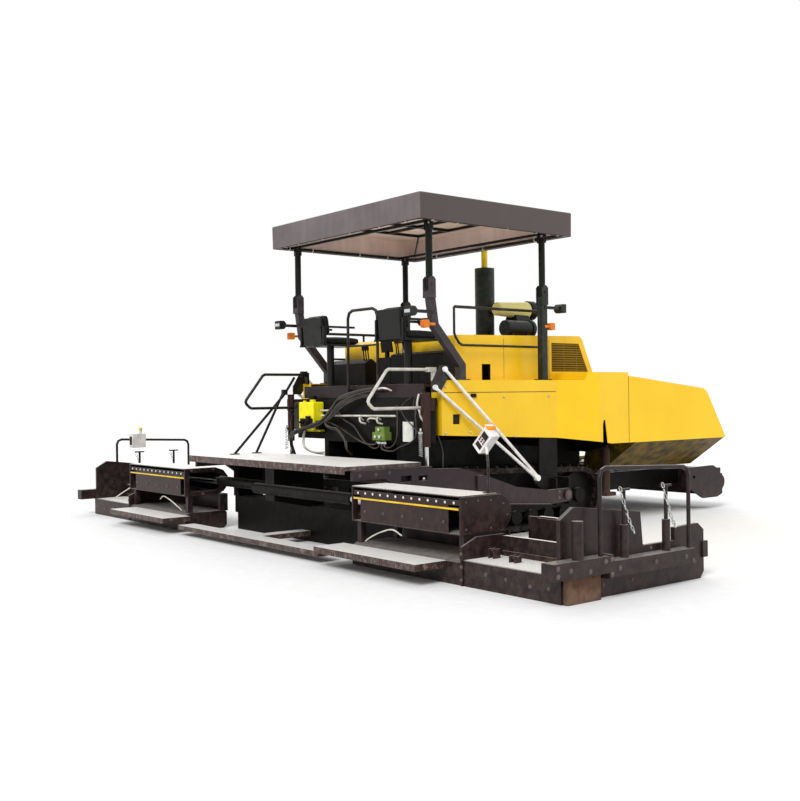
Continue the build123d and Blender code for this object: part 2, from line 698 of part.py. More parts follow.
def wing_cylinders():
    """The two cylinders that stand behind the wings, on brackets from the frame."""
    barrel = rod((cylinder_x, cylinder_y, 380), (cylinder_x, cylinder_y, 930), 46)
    shaft = rod((cylinder_x, cylinder_y, 900), (cylinder_x, cylinder_y, 1005), 24)
    eye = rod((cylinder_x - 22, cylinder_y, 1030), (cylinder_x + 22, cylinder_y, 1030), 38)
    eye -= rod((cylinder_x - 40, cylinder_y, 1030), (cylinder_x + 40, cylinder_y, 1030), 15 + pin_play)
    away = math.degrees(math.atan2(1030 - wing_hinge_z, cylinder_y - wing_hinge_y)) + 90
    eye -= Pos(cylinder_x, cylinder_y, 1030) * (Rot(away, 0, 0) * (Pos(0, 30, 0) * Box(60, 60, 34)))
    shaft -= rod((cylinder_x - 40, cylinder_y, 1030), (cylinder_x + 40, cylinder_y, 1030), 15 + pin_play)
    bracket = plan_plate([(2860, frame_outer), (2930, frame_outer), (2930, cylinder_y + 45), (cylinder_x - 46, cylinder_y + 45),
                          (cylinder_x - 46, cylinder_y - 46), (2860, cylinder_y - 46)], 340, 385)
    return both(barrel + shaft + eye + bracket)


# Front
def push_beam():
    """The cross beam at the front with its stepped ends and roller brackets."""
    beam = block(5000, 5210, -1200, 1200, 200, 560)
    for sign in (1, -1):
        end = side_plate([(4560, 330), (4560, 590), (5120, 600), (5210, 560), (5290, 560), (5290, 480),
                          (5330, 480), (5330, 200), (5210, 160), (4900, 160)], 1200, 1240)
        arm = block(4560, 5010, 1120, 1240, 330, 560)
        eye = rod((lashing_x, 1100, lashing_z), (lashing_x, 1260, lashing_z), lashing_hole)
        beam += sided(end + arm - eye, sign)
    hanger = [(5200, 250), (5200, 470), (5330, 470), (roller_x + 20, 400), (roller_x + 20, 320), (5330, 250)]
    for sign in (1, -1):
        for y in (roller_inner - 45, roller_outer + 5):
            beam += sided(side_plate(hanger, y, y + 40), sign)
        bore = rod((roller_x, roller_inner - 60, roller_z), (roller_x, roller_outer + 60, roller_z),
                   roller_pin + pin_play)
        beam -= sided(bore, sign)
    return beam


def push_roller():
    """One push roller on the pin that runs in its two hangers."""
    body = rod((roller_x, roller_inner, roller_z), (roller_x, roller_outer, roller_z), roller_radius)
    return body + rod((roller_x, roller_inner - 40, roller_z), (roller_x, roller_outer + 40, roller_z), roller_pin)


# Screed
def main_screed():
    """The centre screed: plate, mouldboard, crown box and the frames that carry the deck."""
    shell = side_plate([(main_rear_x, 0), (main_rear_x, main_top), (main_front_x - 60, main_top),
                        (main_front_x, 340), (main_front_x, 40), (main_front_x - 40, 0)],
                       -main_half, main_half)
    pylon = side_plate([(main_rear_x + 20, main_top - 20), (-1250, 480), (-1250, 880), (main_rear_x + 180, 880),
                        (main_rear_x + 180, main_top - 20)], -90, 90)
    frame = shell + pylon
    for sign in (1, -1):
        end = side_plate([(main_rear_x, 200), (main_rear_x, 880), (-430, 880), (-430, 200)],
                         main_half - 20, arm_y)
        frame += sided(end, sign)
    for x in (-760, -470):
        frame += block(x, x + 60, 10 - main_half, main_half - 10, 820, 880)
    for x, sign in guide_lines:
        frame += pipe((x, -sign * 320, guide_z), (x, sign * main_half, guide_z), 60, guide_radius + pin_play)
        frame -= rod((x, -sign * 330, guide_z), (x, sign * 330, guide_z), guide_radius + pin_play)
    return frame


def walkway():
    """Two chequered walkway panels with turned-down edges."""
    pieces = []
    panel = block(screed_rear_x, walk_front_x, 4, walk_half, walk_top - 8, walk_top)
    panel += block(screed_rear_x, screed_rear_x + 8, 4, walk_half, walk_top - 75, walk_top)
    panel += block(walk_front_x - 8, walk_front_x, 4, walk_half, walk_top - 40, walk_top)
    panel += block(screed_rear_x, walk_front_x, walk_half - 8, walk_half, walk_top - 40, walk_top)
    panel += block(screed_rear_x, walk_front_x, 4, 12, walk_top - 40, walk_top)
    for x in (-1250, -1000, -700):
        panel += block(x, x + 40, 4, walk_half, walk_top - 45, walk_top)
    return both(panel)


def tow_arm():
    """One long arm from under the walkway to the tow pin, tapered forward."""
    outline = [(-1300, 785), (-1300, walk_top - 45), (-300, walk_top - 45), (-270, 850), (110, 838), (430, 755),
               (930, 590), (1450, 520), (1800, 520), (1840, 480), (1840, 400), (1790, 370),
               (1450, 355), (860, 410), (200, 430), (-300, 400), (main_rear_x + 5, 400),
               (main_rear_x + 5, 700), (-900, 785)]
    arm = side_plate(outline, arm_y, arm_y + arm_thick)
    windows = [(-700, -560, 735, 800), (-470, -350, 735, 790)]
    for x0, x1, z0, z1 in windows:
        arm -= block(x0, x1, arm_y - 5, arm_y + arm_thick + 5, z0, z1)
    arm -= rod((tow_x, arm_y - 5, tow_z), (tow_x, arm_y + arm_thick + 5, tow_z), tow_pin + pin_play)
    rib = block(330, 420, arm_y + arm_thick - 1, arm_y + arm_thick + 25, 440, 745)
    ledge = side_plate([(700, 410), (700, 425), (1450, 370), (1450, 355)], arm_y, arm_y + 90)
    pin = rod((lift_x, lift_y - 40, lift_eye_z), (lift_x, arm_y + 5, lift_eye_z), 20)
    return arm + rib + ledge + pin


def main_footboard():
    """The low step along the middle of the screed, on its centre bracket."""
    board = block(-1620, screed_rear_x - 15, 60 - main_half, main_half - 60, 65, 120)
    bracket = block(screed_rear_x - 20, main_rear_x, -90, 90, 65, 120)
    return board + bracket


# Extensions
def extension_screed():
    """The screed box of one extension with the posts that carry the guard."""
    low = side_plate([(screed_rear_x, 0), (screed_rear_x, 190), (-1330, low_box_top), (ext_front_x - 40, low_box_top),
                      (ext_front_x - 20, 190), (ext_front_x - 20, 40), (ext_front_x - 60, 0)],
                     ext_inner, ext_outer)
    for y in (ext_inner + 20, ext_outer - 80):
        for x in (-1340, -900):
            low += block(x, x + 60, y, y + 60, low_box_top - 5, box_low)
    return low


def extension_guard():
    """The D-shaped housing over one extension, open at its back."""
    outline = [(screed_rear_x, box_low), (screed_rear_x, box_top), (-960, box_top), (-860, 715),
               (ext_front_x, 640), (ext_front_x, 530), (-860, 455), (-960, box_low)]
    inner = [(screed_rear_x - 5, box_low + 8), (screed_rear_x - 5, box_top - 8), (-963, box_top - 8),
             (-866, 708), (ext_front_x - 8, 636), (ext_front_x - 8, 534), (-866, 462), (-963, box_low + 8)]
    shell = side_plate(outline, ext_inner, ext_outer)
    shell -= side_plate(inner, ext_inner + 20, ext_outer - 20)
    window = [(-1330, 470), (-1330, 700), (-960, 700), (-880, 640), (-880, 530), (-960, 470)]
    shell -= side_plate(window, ext_inner - 1, ext_inner + 21)
    shell += block(screed_rear_x + 5, screed_rear_x + 25, ext_inner + 10, ext_outer - 10, 672, 712)
    shell += block(screed_rear_x + 2, screed_rear_x + 14, ext_inner + 10, ext_outer - 10, 628, 652)
    shell += block(screed_rear_x + 8, screed_rear_x + 16, ext_inner + 130, ext_outer - 170, 435, 615)
    shell += block(screed_rear_x + 8, screed_rear_x + 16, ext_inner + 130, ext_outer - 170, 610, 680)
    shell += block(screed_rear_x + 8, screed_rear_x + 16, ext_inner + 130, ext_outer - 170, 425, 440)
    return shell


def extension_rod(x):
    """The moving guide rod, fixed in the guard's outer end."""
    return rod((x, 1250, guide_z), (x, ext_outer - 20, guide_z), guide_radius)


def footboard():
    """One extension's folding step with its chequered top and support arms."""
    y0, y1 = ext_inner - 130, ext_outer - 180
    board = block(-rear_reach, screed_rear_x - 4, y0, y1, 135, 135 + board_depth)
    for y in (ext_inner + 100, y1 - 200):
        board += block(screed_rear_x - 110, screed_rear_x, y, y + 60, 140, 180)
    return board


def bolt_on():
    """The bolted extension: low box, raised step, mouldboard and joint flange."""
    y0, y1 = ext_outer, bolt_outer
    low = side_plate([(screed_rear_x, 0), (screed_rear_x, low_box_top), (-940, low_box_top), (-940, 385),
                      (-900, 385), (-900, low_box_top), (ext_front_x - 20, 190), (ext_front_x - 20, 40),
                      (ext_front_x - 60, 0)], y0, y1)
    board = side_plate([(-500, 15), (-500, 500), (-470, 515), (-455, 515), (-455, 15)], y0 + 40, y1)
    low += board
    for y in (y0 + 60, (y0 + y1) / 2, y1 - 80):
        low += block(ext_front_x - 30, -495, y, y + 20, 60, 180)
    flange = side_plate([(screed_rear_x - 12, 0), (screed_rear_x - 12, 330), (-1230, 400), (-900, 400),
                         (ext_front_x - 20, 190), (ext_front_x - 20, 0)], y0, y0 + 25)
    return low + flange


def end_plate():
    """The end gate with its outer box beam, rear block and shoe."""
    outline = [(screed_rear_x, 0), (screed_rear_x, 645), (-1235, 735), (-430, 640), (-400, 360),
               (20, 360), (20, 470), (350, 480), (430, 420), (430, 60), (380, 0)]
    y0 = bolt_outer
    plate = side_plate(outline, y0, y0 + end_plate_thick)
    beam = block(-930, 130, y0 + end_plate_thick - 1, half_width, 175, 300)
    rear = block(-1600, -960, y0 + end_plate_thick - 1, half_width, 215, 345)
    joint = block(-965, -925, y0 + end_plate_thick - 1, half_width, 165, 355)
    shoe = side_plate([(screed_rear_x + 15, 0), (screed_rear_x + 15, 216), (-1000, 216), (-1000, 0)],
                      y0 + 39, y0 + 100)
    latch = block(400, 470, y0 - 15, y0 + end_plate_thick + 15, 180, 320)
    return plate + beam + rear + joint + shoe + latch


def end_gear():
    """The handrail, the two height jacks and the rear post of one end."""
    y = half_width - 45
    hand = rail([(-1030, y, 345), (-1030, y, 1030), (100, y, 985), (100, y, 300)], 70, tube)
    pieces = [hand]
    for x in (-700, -160):
        y_jack = half_width - 80
        sleeve = rod((x, y_jack, 300), (x, y_jack, 560), 34)
        screw = rod((x, y_jack, 560), (x, y_jack, 830), 16)
        handle = rod((x - 70, y_jack, 840), (x + 70, y_jack, 840), 10)
        pieces.append(sleeve + screw + handle)
    pieces.append(rod((-1290, y, 345), (-1290, y, 640), 45))
    return pieces


def control_box(sign):
    """A side's control box: on the end rail at the left, on a stalk from the guard at the right."""
    if sign > 0:
        y = half_width - 45 - tube - seat
        box = Pos(-745, y - 55, 1005) * fillet(Box(210, 110, 200).edges(), 8)
        return box + block(-800, -690, y - 60, y, 985, 1045) + rod((-700, y - 55, 1100), (-700, y - 55, 1150), 22)
    foot_y = ext_outer - 50
    foot = block(-1060, -980, foot_y - 30, foot_y + 30, box_top + seat, box_top + 12)
    stalk = rail([(-1020, foot_y, box_top + 8), (-1020, foot_y, 1010), (-850, 3000, 1170)], 60, 12)
    box = Pos(-850, 3000, 1200) * (Rot(-45, 0, 0) * fillet(Box(100, 130, 240).edges(), 8))
    knob = rod((-850, 3055, 1240), (-850, 3055, 1345), 45)
    return foot + stalk + box + knob


def lift_barrel():
    """One lift cylinder's barrel hung from the rear wall."""
    barrel = rod((lift_x, lift_y, 1060), (lift_x, lift_y, 1640), 42)
    head = block(lift_x - 50, 0, lift_y - 30, lift_y + 12, 1440, 1580)
    bore = rod((lift_x, lift_y, 1050), (lift_x, lift_y, 1590), lift_rod + pin_play)
    return (barrel + head) - bore


def lift_rod_piece():
    """One lift cylinder's rod with the slotted link that lets the arm's pin drift forward."""
    shaft = rod((lift_x, lift_y, lift_eye_z + 36), (lift_x, lift_y, 1180), lift_rod)
    link = side_plate([(lift_x - 48, lift_eye_z - 48), (lift_x - 48, lift_eye_z + 48), (lift_x + 108, lift_eye_z + 48),
                       (lift_x + 108, lift_eye_z - 48)], lift_y - 22, lift_y + 22, 44)
    slot = side_plate([(lift_x - 28, lift_eye_z - 28), (lift_x - 28, lift_eye_z + 28), (lift_x + 88, lift_eye_z + 28),
                       (lift_x + 88, lift_eye_z - 28)], lift_y - 30, lift_y + 30, 26)
    return (shaft + link) - slot


def stays():
    """The two bright stays on each side and their upper lug plate."""
    plate = side_plate([(-60, 1640), (-60, 1740), (60, 1930), (160, 1930), (180, 1800), (60, 1640)],
                       body_half + 1, body_half + 13)
    low = (1370, arm_y - 64, 650)
    first = rod((-20, body_half + 25, 1690), low, 18)
    second = rod((120, body_half + 25, 1885), (1385, arm_y - 64, 665), 18)
    knuckle = rod((1372, arm_y - 85, 655), (1372, arm_y - 40, 655), 34)
    head = rod((-20, body_half + 13, 1690), (-20, body_half + 40, 1690), 30)
    head += rod((120, body_half + 13, 1885), (120, body_half + 40, 1885), 30)
    return both(plate + first + second + knuckle + head)


def auger():
    """One auger: a shaft with its journals and a spiral of overlapping flat blades."""
    spiral = rod((0, 0, auger_inner), (0, 0, auger_outer), auger_shaft)
    spiral += rod((0, 0, 80), (0, 0, auger_outer + 25), auger_journal)
    middle = (auger_radius + auger_shaft) / 2
    slope = math.degrees(math.atan2(auger_pitch / auger_turn, 2 * math.pi * middle / auger_turn))
    width = 2 * auger_radius * math.tan(math.pi / auger_turn) * 1.04
    blade = Pos(middle - 4, 0, 0) * Box(auger_radius - auger_shaft + 8, width, auger_blade)
    blade = (Rot(slope, 0, 0) * blade) & rod((0, 0, -60), (0, 0, 60), auger_radius)
    count = int((auger_outer - auger_inner - 80) / auger_pitch * auger_turn)
    blades = [Pos(0, 0, auger_inner + 50 + index * auger_pitch / auger_turn)
              * (Rot(0, 0, index * 360 / auger_turn) * blade) for index in range(count)]
    return Pos(auger_x, 0, auger_z) * (Rot(-90, 0, 0) * spiral.fuse(*blades))


def auger_frame():
    """The augers' drive case and end hangers on a cross beam behind the frame."""
    rear, front = auger_x - 80, auger_x - 10
    case = side_plate([(auger_x - 90, 260), (auger_x - 90, 480), (rear, 565), (front, 565),
                       (auger_x + 90, 480), (auger_x + 90, 260)], -110, 110)
    hanger = side_plate([(auger_x - 60, 320), (rear, 565), (front, 565), (auger_x + 60, 480), (auger_x + 60, 320)],
                        auger_outer + 5, auger_outer + 25)
    beam = block(rear, front, -(auger_outer + 25), auger_outer + 25, 560, 640)
    bracket = block(rear, 0, frame_inner + 5, frame_outer - 5, 565, 635)
    frame = case + beam + hanger + mirror(hanger, about=Plane.XZ) + bracket + mirror(bracket, about=Plane.XZ)
    for sign in (1, -1):
        bore = rod((auger_x, 75, auger_z), (auger_x, auger_outer + 60, auger_z), auger_journal + pin_play)
        frame -= sided(bore, sign)
    return frame


def build():
    """Make every node and write it."""
    for name, sign in sides:
        save(f"track_{name}", sided(track(), sign))
        save(f"track_frame_{name}", sided(track_frame(), sign))
        save(f"side_cover_{name}", sided(side_cover(), sign))
        save(f"hopper_wing_{name}", sided(hopper_wing(), sign))
        save(f"push_roller_{name}", sided(push_roller(), sign))
        save(f"auger_{name}", sided(auger(), sign))
        save(f"tow_arm_{name}", sided(tow_arm(), sign))
        save(f"extension_screed_{name}", sided(extension_screed(), sign))
        save(f"extension_guard_{name}", sided(extension_guard(), sign))
        save(f"footboard_{name}", sided(footboard(), sign))
        save(f"bolt_on_{name}", sided(bolt_on(), sign))
        save(f"end_plate_{name}", sided(end_plate(), sign))
        save(f"end_gear_{name}", *[sided(piece, sign) for piece in end_gear()])
        save(f"control_box_{name}", sided(control_box(sign), sign))
    for (name, sign), (x, _) in zip(sides, guide_lines):
        save(f"guide_rod_{name}", sided(extension_rod(x), sign))
    save("chassis_frame", chassis_frame())
    save("engine_block", engine())
    save("hood_shell", hood())
    save("hood_grilles", *both(grille()))
    save("deck_platform", deck())
    save("consoles", *consoles())
    save("seat_frames", seat_frame(750), seat_frame(-750))
    save("seat_cushions", *seat_cushion(750), *seat_cushion(-750))
    save("handrails", *handrails())
    save("canopy_brackets", *canopy_brackets())
    save("canopy_posts_rear", *both(canopy_post(rear_pin_x)))
    save("canopy_posts_front", *both(canopy_post(front_pin_x)))
    save("canopy_frame", canopy_frame())
    save("canopy_cover", canopy_cover())
    save("lamps", *lamps())
    save("rear_hydraulics", *rear_hydraulics())
    save("exhaust_stack", exhaust())
    save("air_cleaner", *air_cleaner())
    save("conveyor", *conveyor())
    save("hopper_apron", hopper_apron())
    save("wing_cylinders", *wing_cylinders())
    save("push_beam", push_beam())
    save("main_screed", main_screed())
    save("walkway", *walkway())
    save("main_footboard", main_footboard())
    save("lift_barrels", *both(lift_barrel()))
    save("lift_rods", *both(lift_rod_piece()))
    save("stays", *stays())
    save("auger_frame", auger_frame())


build()
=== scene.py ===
"""Looks of a tracked paver with a roofed deck and a wide extending screed.

Lengths are in metres. +X is forward, +Y is the machine's left, +Z is up, and Z = 0 is the
ground. Small pieces measure X from the deck's rear edge, and piece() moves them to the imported
part's frame.
"""

import math

import bpy
import numpy as np
from mathutils import Matrix, Vector


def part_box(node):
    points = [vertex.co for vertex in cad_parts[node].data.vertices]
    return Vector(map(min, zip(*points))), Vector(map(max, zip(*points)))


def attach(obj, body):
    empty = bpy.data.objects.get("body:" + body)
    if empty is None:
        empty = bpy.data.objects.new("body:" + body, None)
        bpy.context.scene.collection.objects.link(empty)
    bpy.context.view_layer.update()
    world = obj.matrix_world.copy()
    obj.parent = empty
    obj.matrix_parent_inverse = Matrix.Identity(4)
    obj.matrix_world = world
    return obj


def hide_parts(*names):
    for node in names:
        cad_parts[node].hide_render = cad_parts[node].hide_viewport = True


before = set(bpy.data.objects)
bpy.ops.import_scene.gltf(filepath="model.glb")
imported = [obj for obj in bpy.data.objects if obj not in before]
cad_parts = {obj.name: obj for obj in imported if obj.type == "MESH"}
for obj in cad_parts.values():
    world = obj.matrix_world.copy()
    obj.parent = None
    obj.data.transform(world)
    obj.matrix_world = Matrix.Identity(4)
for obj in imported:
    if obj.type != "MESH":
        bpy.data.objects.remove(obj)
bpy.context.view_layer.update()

bl_info = {
    "name": "Tracked paver looks",
    "version": (1, 0, 0),
    "blender": (4, 5, 0),
    "location": "3D View > Sidebar > Paver",
    "description": "Finishes and small pieces of a tracked paver around its packed solids",
    "category": "Object",
}

SIDES = (("left", 1), ("right", -1))

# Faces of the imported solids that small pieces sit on
DECK_REAR = -1.855          # the deck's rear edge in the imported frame
HOOD_SIDE = 1.050
COVER_SIDE = 1.330
HOPPER_SIDE = 1.600
ARM_SIDE = 1.600            # outer faces of the tow arms
SCREED_REAR = -1.390        # rear edge of the guards and of the end sections' steps
GUARD = {"inner": 1.700, "outer": 3.250, "low": 0.420, "top": 0.750}
STEP_OUTER = 4.330
STEP_TOP = 0.215
PLATE_SIDE = 4.370          # outer faces of the end plates
BEAM_SIDE = 4.500           # outer faces of the beams on them
ROOF = {"centre": 0.891, "half_x": 1.1735, "half_y": 1.447, "top": 3.740, "skirt": 0.280}
BAR_X = (-0.76, -0.2508, 0.2508, 0.76)      # the roof frame's bars, from the roof's centre
BAR_Y = (-0.88, -0.2904, 0.2904, 0.88)

# Lengths that small pieces share
CLEAR = 0.0003              # air under a trim piece, so that it shares no face with the solid
BOLT_CLEAR = 0.0002
LINK_LENGTH = 0.052
LINK_WIDTH = 0.030


# Colours and materials
def tint(text):
    """An sRGB hex value such as #f2c12a, or a linear colour, as linear red, green, blue and alpha."""
    if not isinstance(text, str):
        return (*text, 1.0)
    values = np.array([int(text[i:i + 2], 16) for i in (1, 3, 5)]) / 255
    linear = np.where(values <= 0.04045, values / 12.92, ((values + 0.055) / 1.055) ** 2.4)
    return (*linear.tolist(), 1.0)


def add(tree, kind, inputs=None, **settings):
    """One node with its settings; inputs maps a socket to a value or to the output that feeds it."""
    made = tree.nodes.new(kind)
    for name, value in settings.items():
        setattr(made, name, value)
    for key, value in (inputs or {}).items():
        if isinstance(value, bpy.types.NodeSocket):
            tree.links.new(value, made.inputs[key])
        else:
            made.inputs[key].default_value = value
    return made


def start(name):
    """A new material with its shader, and the place on the object that its patterns read."""
    material = bpy.data.materials.new(name)
    material.use_nodes = True
    tree = material.node_tree
    shader = tree.nodes["Principled BSDF"]
    place = add(tree, "ShaderNodeTexCoord").outputs["Object"]
    return material, tree, shader, place


def noise(tree, place, size, detail=3.0, rough=0.55):
    """Cloudy noise whose features are about size metres across."""
    return add(tree, "ShaderNodeTexNoise", {"Vector": place, "Scale": 1 / size, "Detail": detail,
                                            "Roughness": rough}).outputs["Fac"]


def remap(tree, value, low, high, to_low=0.0, to_high=1.0):
    """value carried from low..high to to_low..to_high, held at the ends."""
    return add(tree, "ShaderNodeMapRange", {0: value, 1: low, 2: high, 3: to_low, 4: to_high}).outputs[0]


def mix(tree, share, a, b):
    """Colour a where share is 0 and colour b where it is 1."""
    return add(tree, "ShaderNodeMix", {0: share, 6: a, 7: b}, data_type="RGBA").outputs[2]


def times(tree, a, b):
    """The product of two values."""
    return add(tree, "ShaderNodeMath", {0: a, 1: b}, operation="MULTIPLY").outputs[0]


def raise_by(tree, shader, height, depth, strength=1.0):
    """Bump of one height map, depth metres deep."""
    bump = add(tree, "ShaderNodeBump", {"Height": height, "Distance": depth, "Strength": strength})
    tree.links.new(bump.outputs["Normal"], shader.inputs["Normal"])


def upward(tree, low=0.75, high=0.97):
    """1 on faces that look up, 0 on the others, from the object's own normal."""
    normal = add(tree, "ShaderNodeTexCoord").outputs["Normal"]
    return remap(tree, add(tree, "ShaderNodeSeparateXYZ", {0: normal}).outputs["Z"], low, high)


def machine_paint(name, colour, shade, dust, rough=0.36, peel=0.012, dust_top=0.9, dust_most=0.5, coat=0.05,
                  pale_top_dust_and_highlight=0.0, gleam=0.2):
    """Sprayed two-pack machine enamel: clouded in broad patches, orange-peeled, dusty near the ground. Its
    peel is drawn 12 mm wide, coarser than the real one, so that it shows. The share given for faces that
    look up paints them pale: partly dust and rubbing, partly a painted highlight of the light from above;
    gleam is the specular level, low on weathered enamel, which keeps the dark colours deep under a white sky."""
    material, tree, shader, place = start(name)
    broad = remap(tree, noise(tree, place, 0.55), 0.38, 0.66)
    body = mix(tree, times(tree, broad, 0.6), tint(colour), tint(shade))
    height = add(tree, "ShaderNodeSeparateXYZ", {0: place}).outputs["Z"]
    low = remap(tree, height, 0.0, dust_top, dust_most, 0.06)
    specks = remap(tree, noise(tree, place, 0.09, 6, 0.7), 0.42, 0.62)
    dusty = mix(tree, times(tree, low, specks), body, tint(dust))
    # Faces that look up turn pale: partly dust and rubbing, partly painted highlight from above
    if pale_top_dust_and_highlight:
        rubbed = times(tree, upward(tree), remap(tree, noise(tree, place, 0.06, 5, 0.7), 0.3, 0.6, 0.5, 1.0))
        dusty = mix(tree, times(tree, rubbed, pale_top_dust_and_highlight), dusty, tint("#d3cfca"))
    tree.links.new(dusty, shader.inputs["Base Color"])
    gloss = remap(tree, specks, 0, 1, rough - 0.06, rough + 0.16)
    tree.links.new(gloss, shader.inputs["Roughness"])
    shader.inputs["Specular IOR Level"].default_value = gleam
    shader.inputs["Coat Weight"].default_value = coat
    shader.inputs["Coat Roughness"].default_value = 0.18
    raise_by(tree, shader, noise(tree, place, peel, 2), 0.0006, 0.5)
    return material


def wing_paint():
    """Hopper plate: yellow enamel outside; olive-brown elsewhere, stuck mix inside and painted shade
    underneath.
    """
    material, tree, shader, place = start("enamel on worn hopper plate")
    axes = add(tree, "ShaderNodeSeparateXYZ", {0: place})
    across = add(tree, "ShaderNodeMath", {0: axes.outputs["Y"]}, operation="ABSOLUTE").outputs[0]
    outside = remap(tree, across, HOPPER_SIDE - 0.006, HOPPER_SIDE - 0.002)
    broad = remap(tree, noise(tree, place, 0.6), 0.38, 0.66)
    yellow = mix(tree, times(tree, broad, 0.5), tint("#f2c516"), tint("#e9ba10"))
    # Olive-brown on all but the outer face: stuck mix inside, painted shade of the yellow on the underside
    worn = mix(tree, remap(tree, noise(tree, place, 0.12, 6), 0.4, 0.65), tint("#6e5812"), tint("#2b2418"))
    tree.links.new(mix(tree, outside, worn, yellow), shader.inputs["Base Color"])
    tree.links.new(remap(tree, outside, 0, 1, 0.55, 0.36), shader.inputs["Roughness"])
    shader.inputs["Specular IOR Level"].default_value = 0.25
    raise_by(tree, shader, noise(tree, place, 0.02, 3), 0.0008, 0.5)
    return material


def metal(name, colour, shade, rough, grain=(1, 1, 12), grain_size=0.03, rust=None):
    """Bare or plated steel: drawing or wear lines along one axis, coarser than real ones so that they show,
    and rust blooms where asked."""
    material, tree, shader, place = start(name)
    stretched = add(tree, "ShaderNodeMapping", {"Vector": place, "Scale": grain}).outputs[0]
    lines = noise(tree, stretched, grain_size, 4)
    body = mix(tree, remap(tree, lines, 0.35, 0.65), tint(colour), tint(shade))
    if rust:
        bloom = remap(tree, noise(tree, place, 0.07, 7, 0.75), 0.5, 0.62)
        body = mix(tree, bloom, body, tint(rust))
        tree.links.new(remap(tree, bloom, 0, 1, 1.0, 0.15), shader.inputs["Metallic"])
    else:
        shader.inputs["Metallic"].default_value = 1.0
    tree.links.new(body, shader.inputs["Base Color"])
    tree.links.new(remap(tree, lines, 0.3, 0.7, rough, rough + 0.15), shader.inputs["Roughness"])
    raise_by(tree, shader, lines, 0.0004, 0.4)
    return material


def chequer(name, colour, worn, between, edge, spacing=0.029):
    """Chequered tread plate: a square grid of raised lozenges, the product of two sine waves along its
    diagonals. The paint is rubbed bright on their tops, and the plate's turned-down edges are brown."""
    material, tree, shader, place = start(name)
    axes = add(tree, "ShaderNodeSeparateXYZ", {0: place})
    waves = []
    for kind in ("ADD", "SUBTRACT"):
        diagonal = add(tree, "ShaderNodeMath", {0: axes.outputs["X"], 1: axes.outputs["Y"]}, operation=kind)
        phase = times(tree, diagonal.outputs[0], math.pi / spacing)
        waves.append(add(tree, "ShaderNodeMath", {0: phase}, operation="SINE").outputs[0])
    lozenge = remap(tree, times(tree, *waves), 0.25, 0.75)
    grime = remap(tree, noise(tree, place, 0.16, 6, 0.7), 0.42, 0.7)
    top = mix(tree, times(tree, grime, 0.7), tint(colour), tint(worn))
    ground = mix(tree, times(tree, grime, 0.8), tint(between), tint(worn))
    chipped = remap(tree, noise(tree, place, 0.05, 6, 0.7), 0.5, 0.66)
    side = mix(tree, chipped, tint(edge), tint("#7d6a60"))
    plate = mix(tree, lozenge, ground, top)
    tree.links.new(mix(tree, upward(tree), side, plate), shader.inputs["Base Color"])
    tree.links.new(remap(tree, grime, 0, 1, 0.35, 0.7), shader.inputs["Roughness"])
    raise_by(tree, shader, lozenge, 0.003, 0.8)
    return material


def moulded(name, colour, shade, rough=0.5, grain=0.004, gleam=0.3):
    """Injection-moulded plastic or rubber with a spark-eroded grain, drawn a few millimetres wide so that
    it shows; gleam is the specular level."""
    material, tree, shader, place = start(name)
    shader.inputs["Specular IOR Level"].default_value = gleam
    broad = remap(tree, noise(tree, place, 0.12), 0.35, 0.65)
    tree.links.new(mix(tree, broad, tint(colour), tint(shade)), shader.inputs["Base Color"])
    shader.inputs["Roughness"].default_value = rough
    raise_by(tree, shader, noise(tree, place, grain, 2), 0.0005, 0.5)
    return material


def vinyl():
    """Embossed vinyl: leather-like cells in the bump and a soft sheen. The cells are drawn 6 mm across,
    three times the real ones, so that they show."""
    material, tree, shader, place = start("embossed seat vinyl")
    cells = add(tree, "ShaderNodeTexVoronoi", {"Vector": place, "Scale": 1 / 0.006}).outputs["Distance"]
    broad = remap(tree, noise(tree, place, 0.1), 0.35, 0.65)
    tree.links.new(mix(tree, broad, tint("#0a100b"), tint("#121a13")), shader.inputs["Base Color"])
    shader.inputs["Roughness"].default_value = 0.52
    shader.inputs["Specular IOR Level"].default_value = 0.15
    raise_by(tree, shader, cells, 0.0006, 0.6)
    return material


def zoned(name, axis, first, *zones, either_side=False):
    """Sprayed enamel whose colour changes along an axis, clouded and lightly dusted. first is the lowest
    colour; each of zones is the place where the next colour begins, and that colour. either_side measures
    the place from the machine's middle, to the left and to the right alike."""
    material, tree, shader, place = start(name)
    along = add(tree, "ShaderNodeSeparateXYZ", {0: place}).outputs[axis]
    if either_side:
        along = add(tree, "ShaderNodeMath", {0: along}, operation="ABSOLUTE").outputs[0]
    body = tint(first)
    for border, colour in zones:
        body = mix(tree, remap(tree, along, border - 0.001, border + 0.001), body, tint(colour))
    shader.inputs["Specular IOR Level"].default_value = 0.25
    dust = remap(tree, noise(tree, place, 0.1, 6), 0.45, 0.65)
    dusted = mix(tree, times(tree, dust, 0.25), body, tint("#5a5348"))
    tree.links.new(dusted, shader.inputs["Base Color"])
    shader.inputs["Roughness"].default_value = 0.4
    raise_by(tree, shader, noise(tree, place, 0.012, 2), 0.0006, 0.5)
    return material


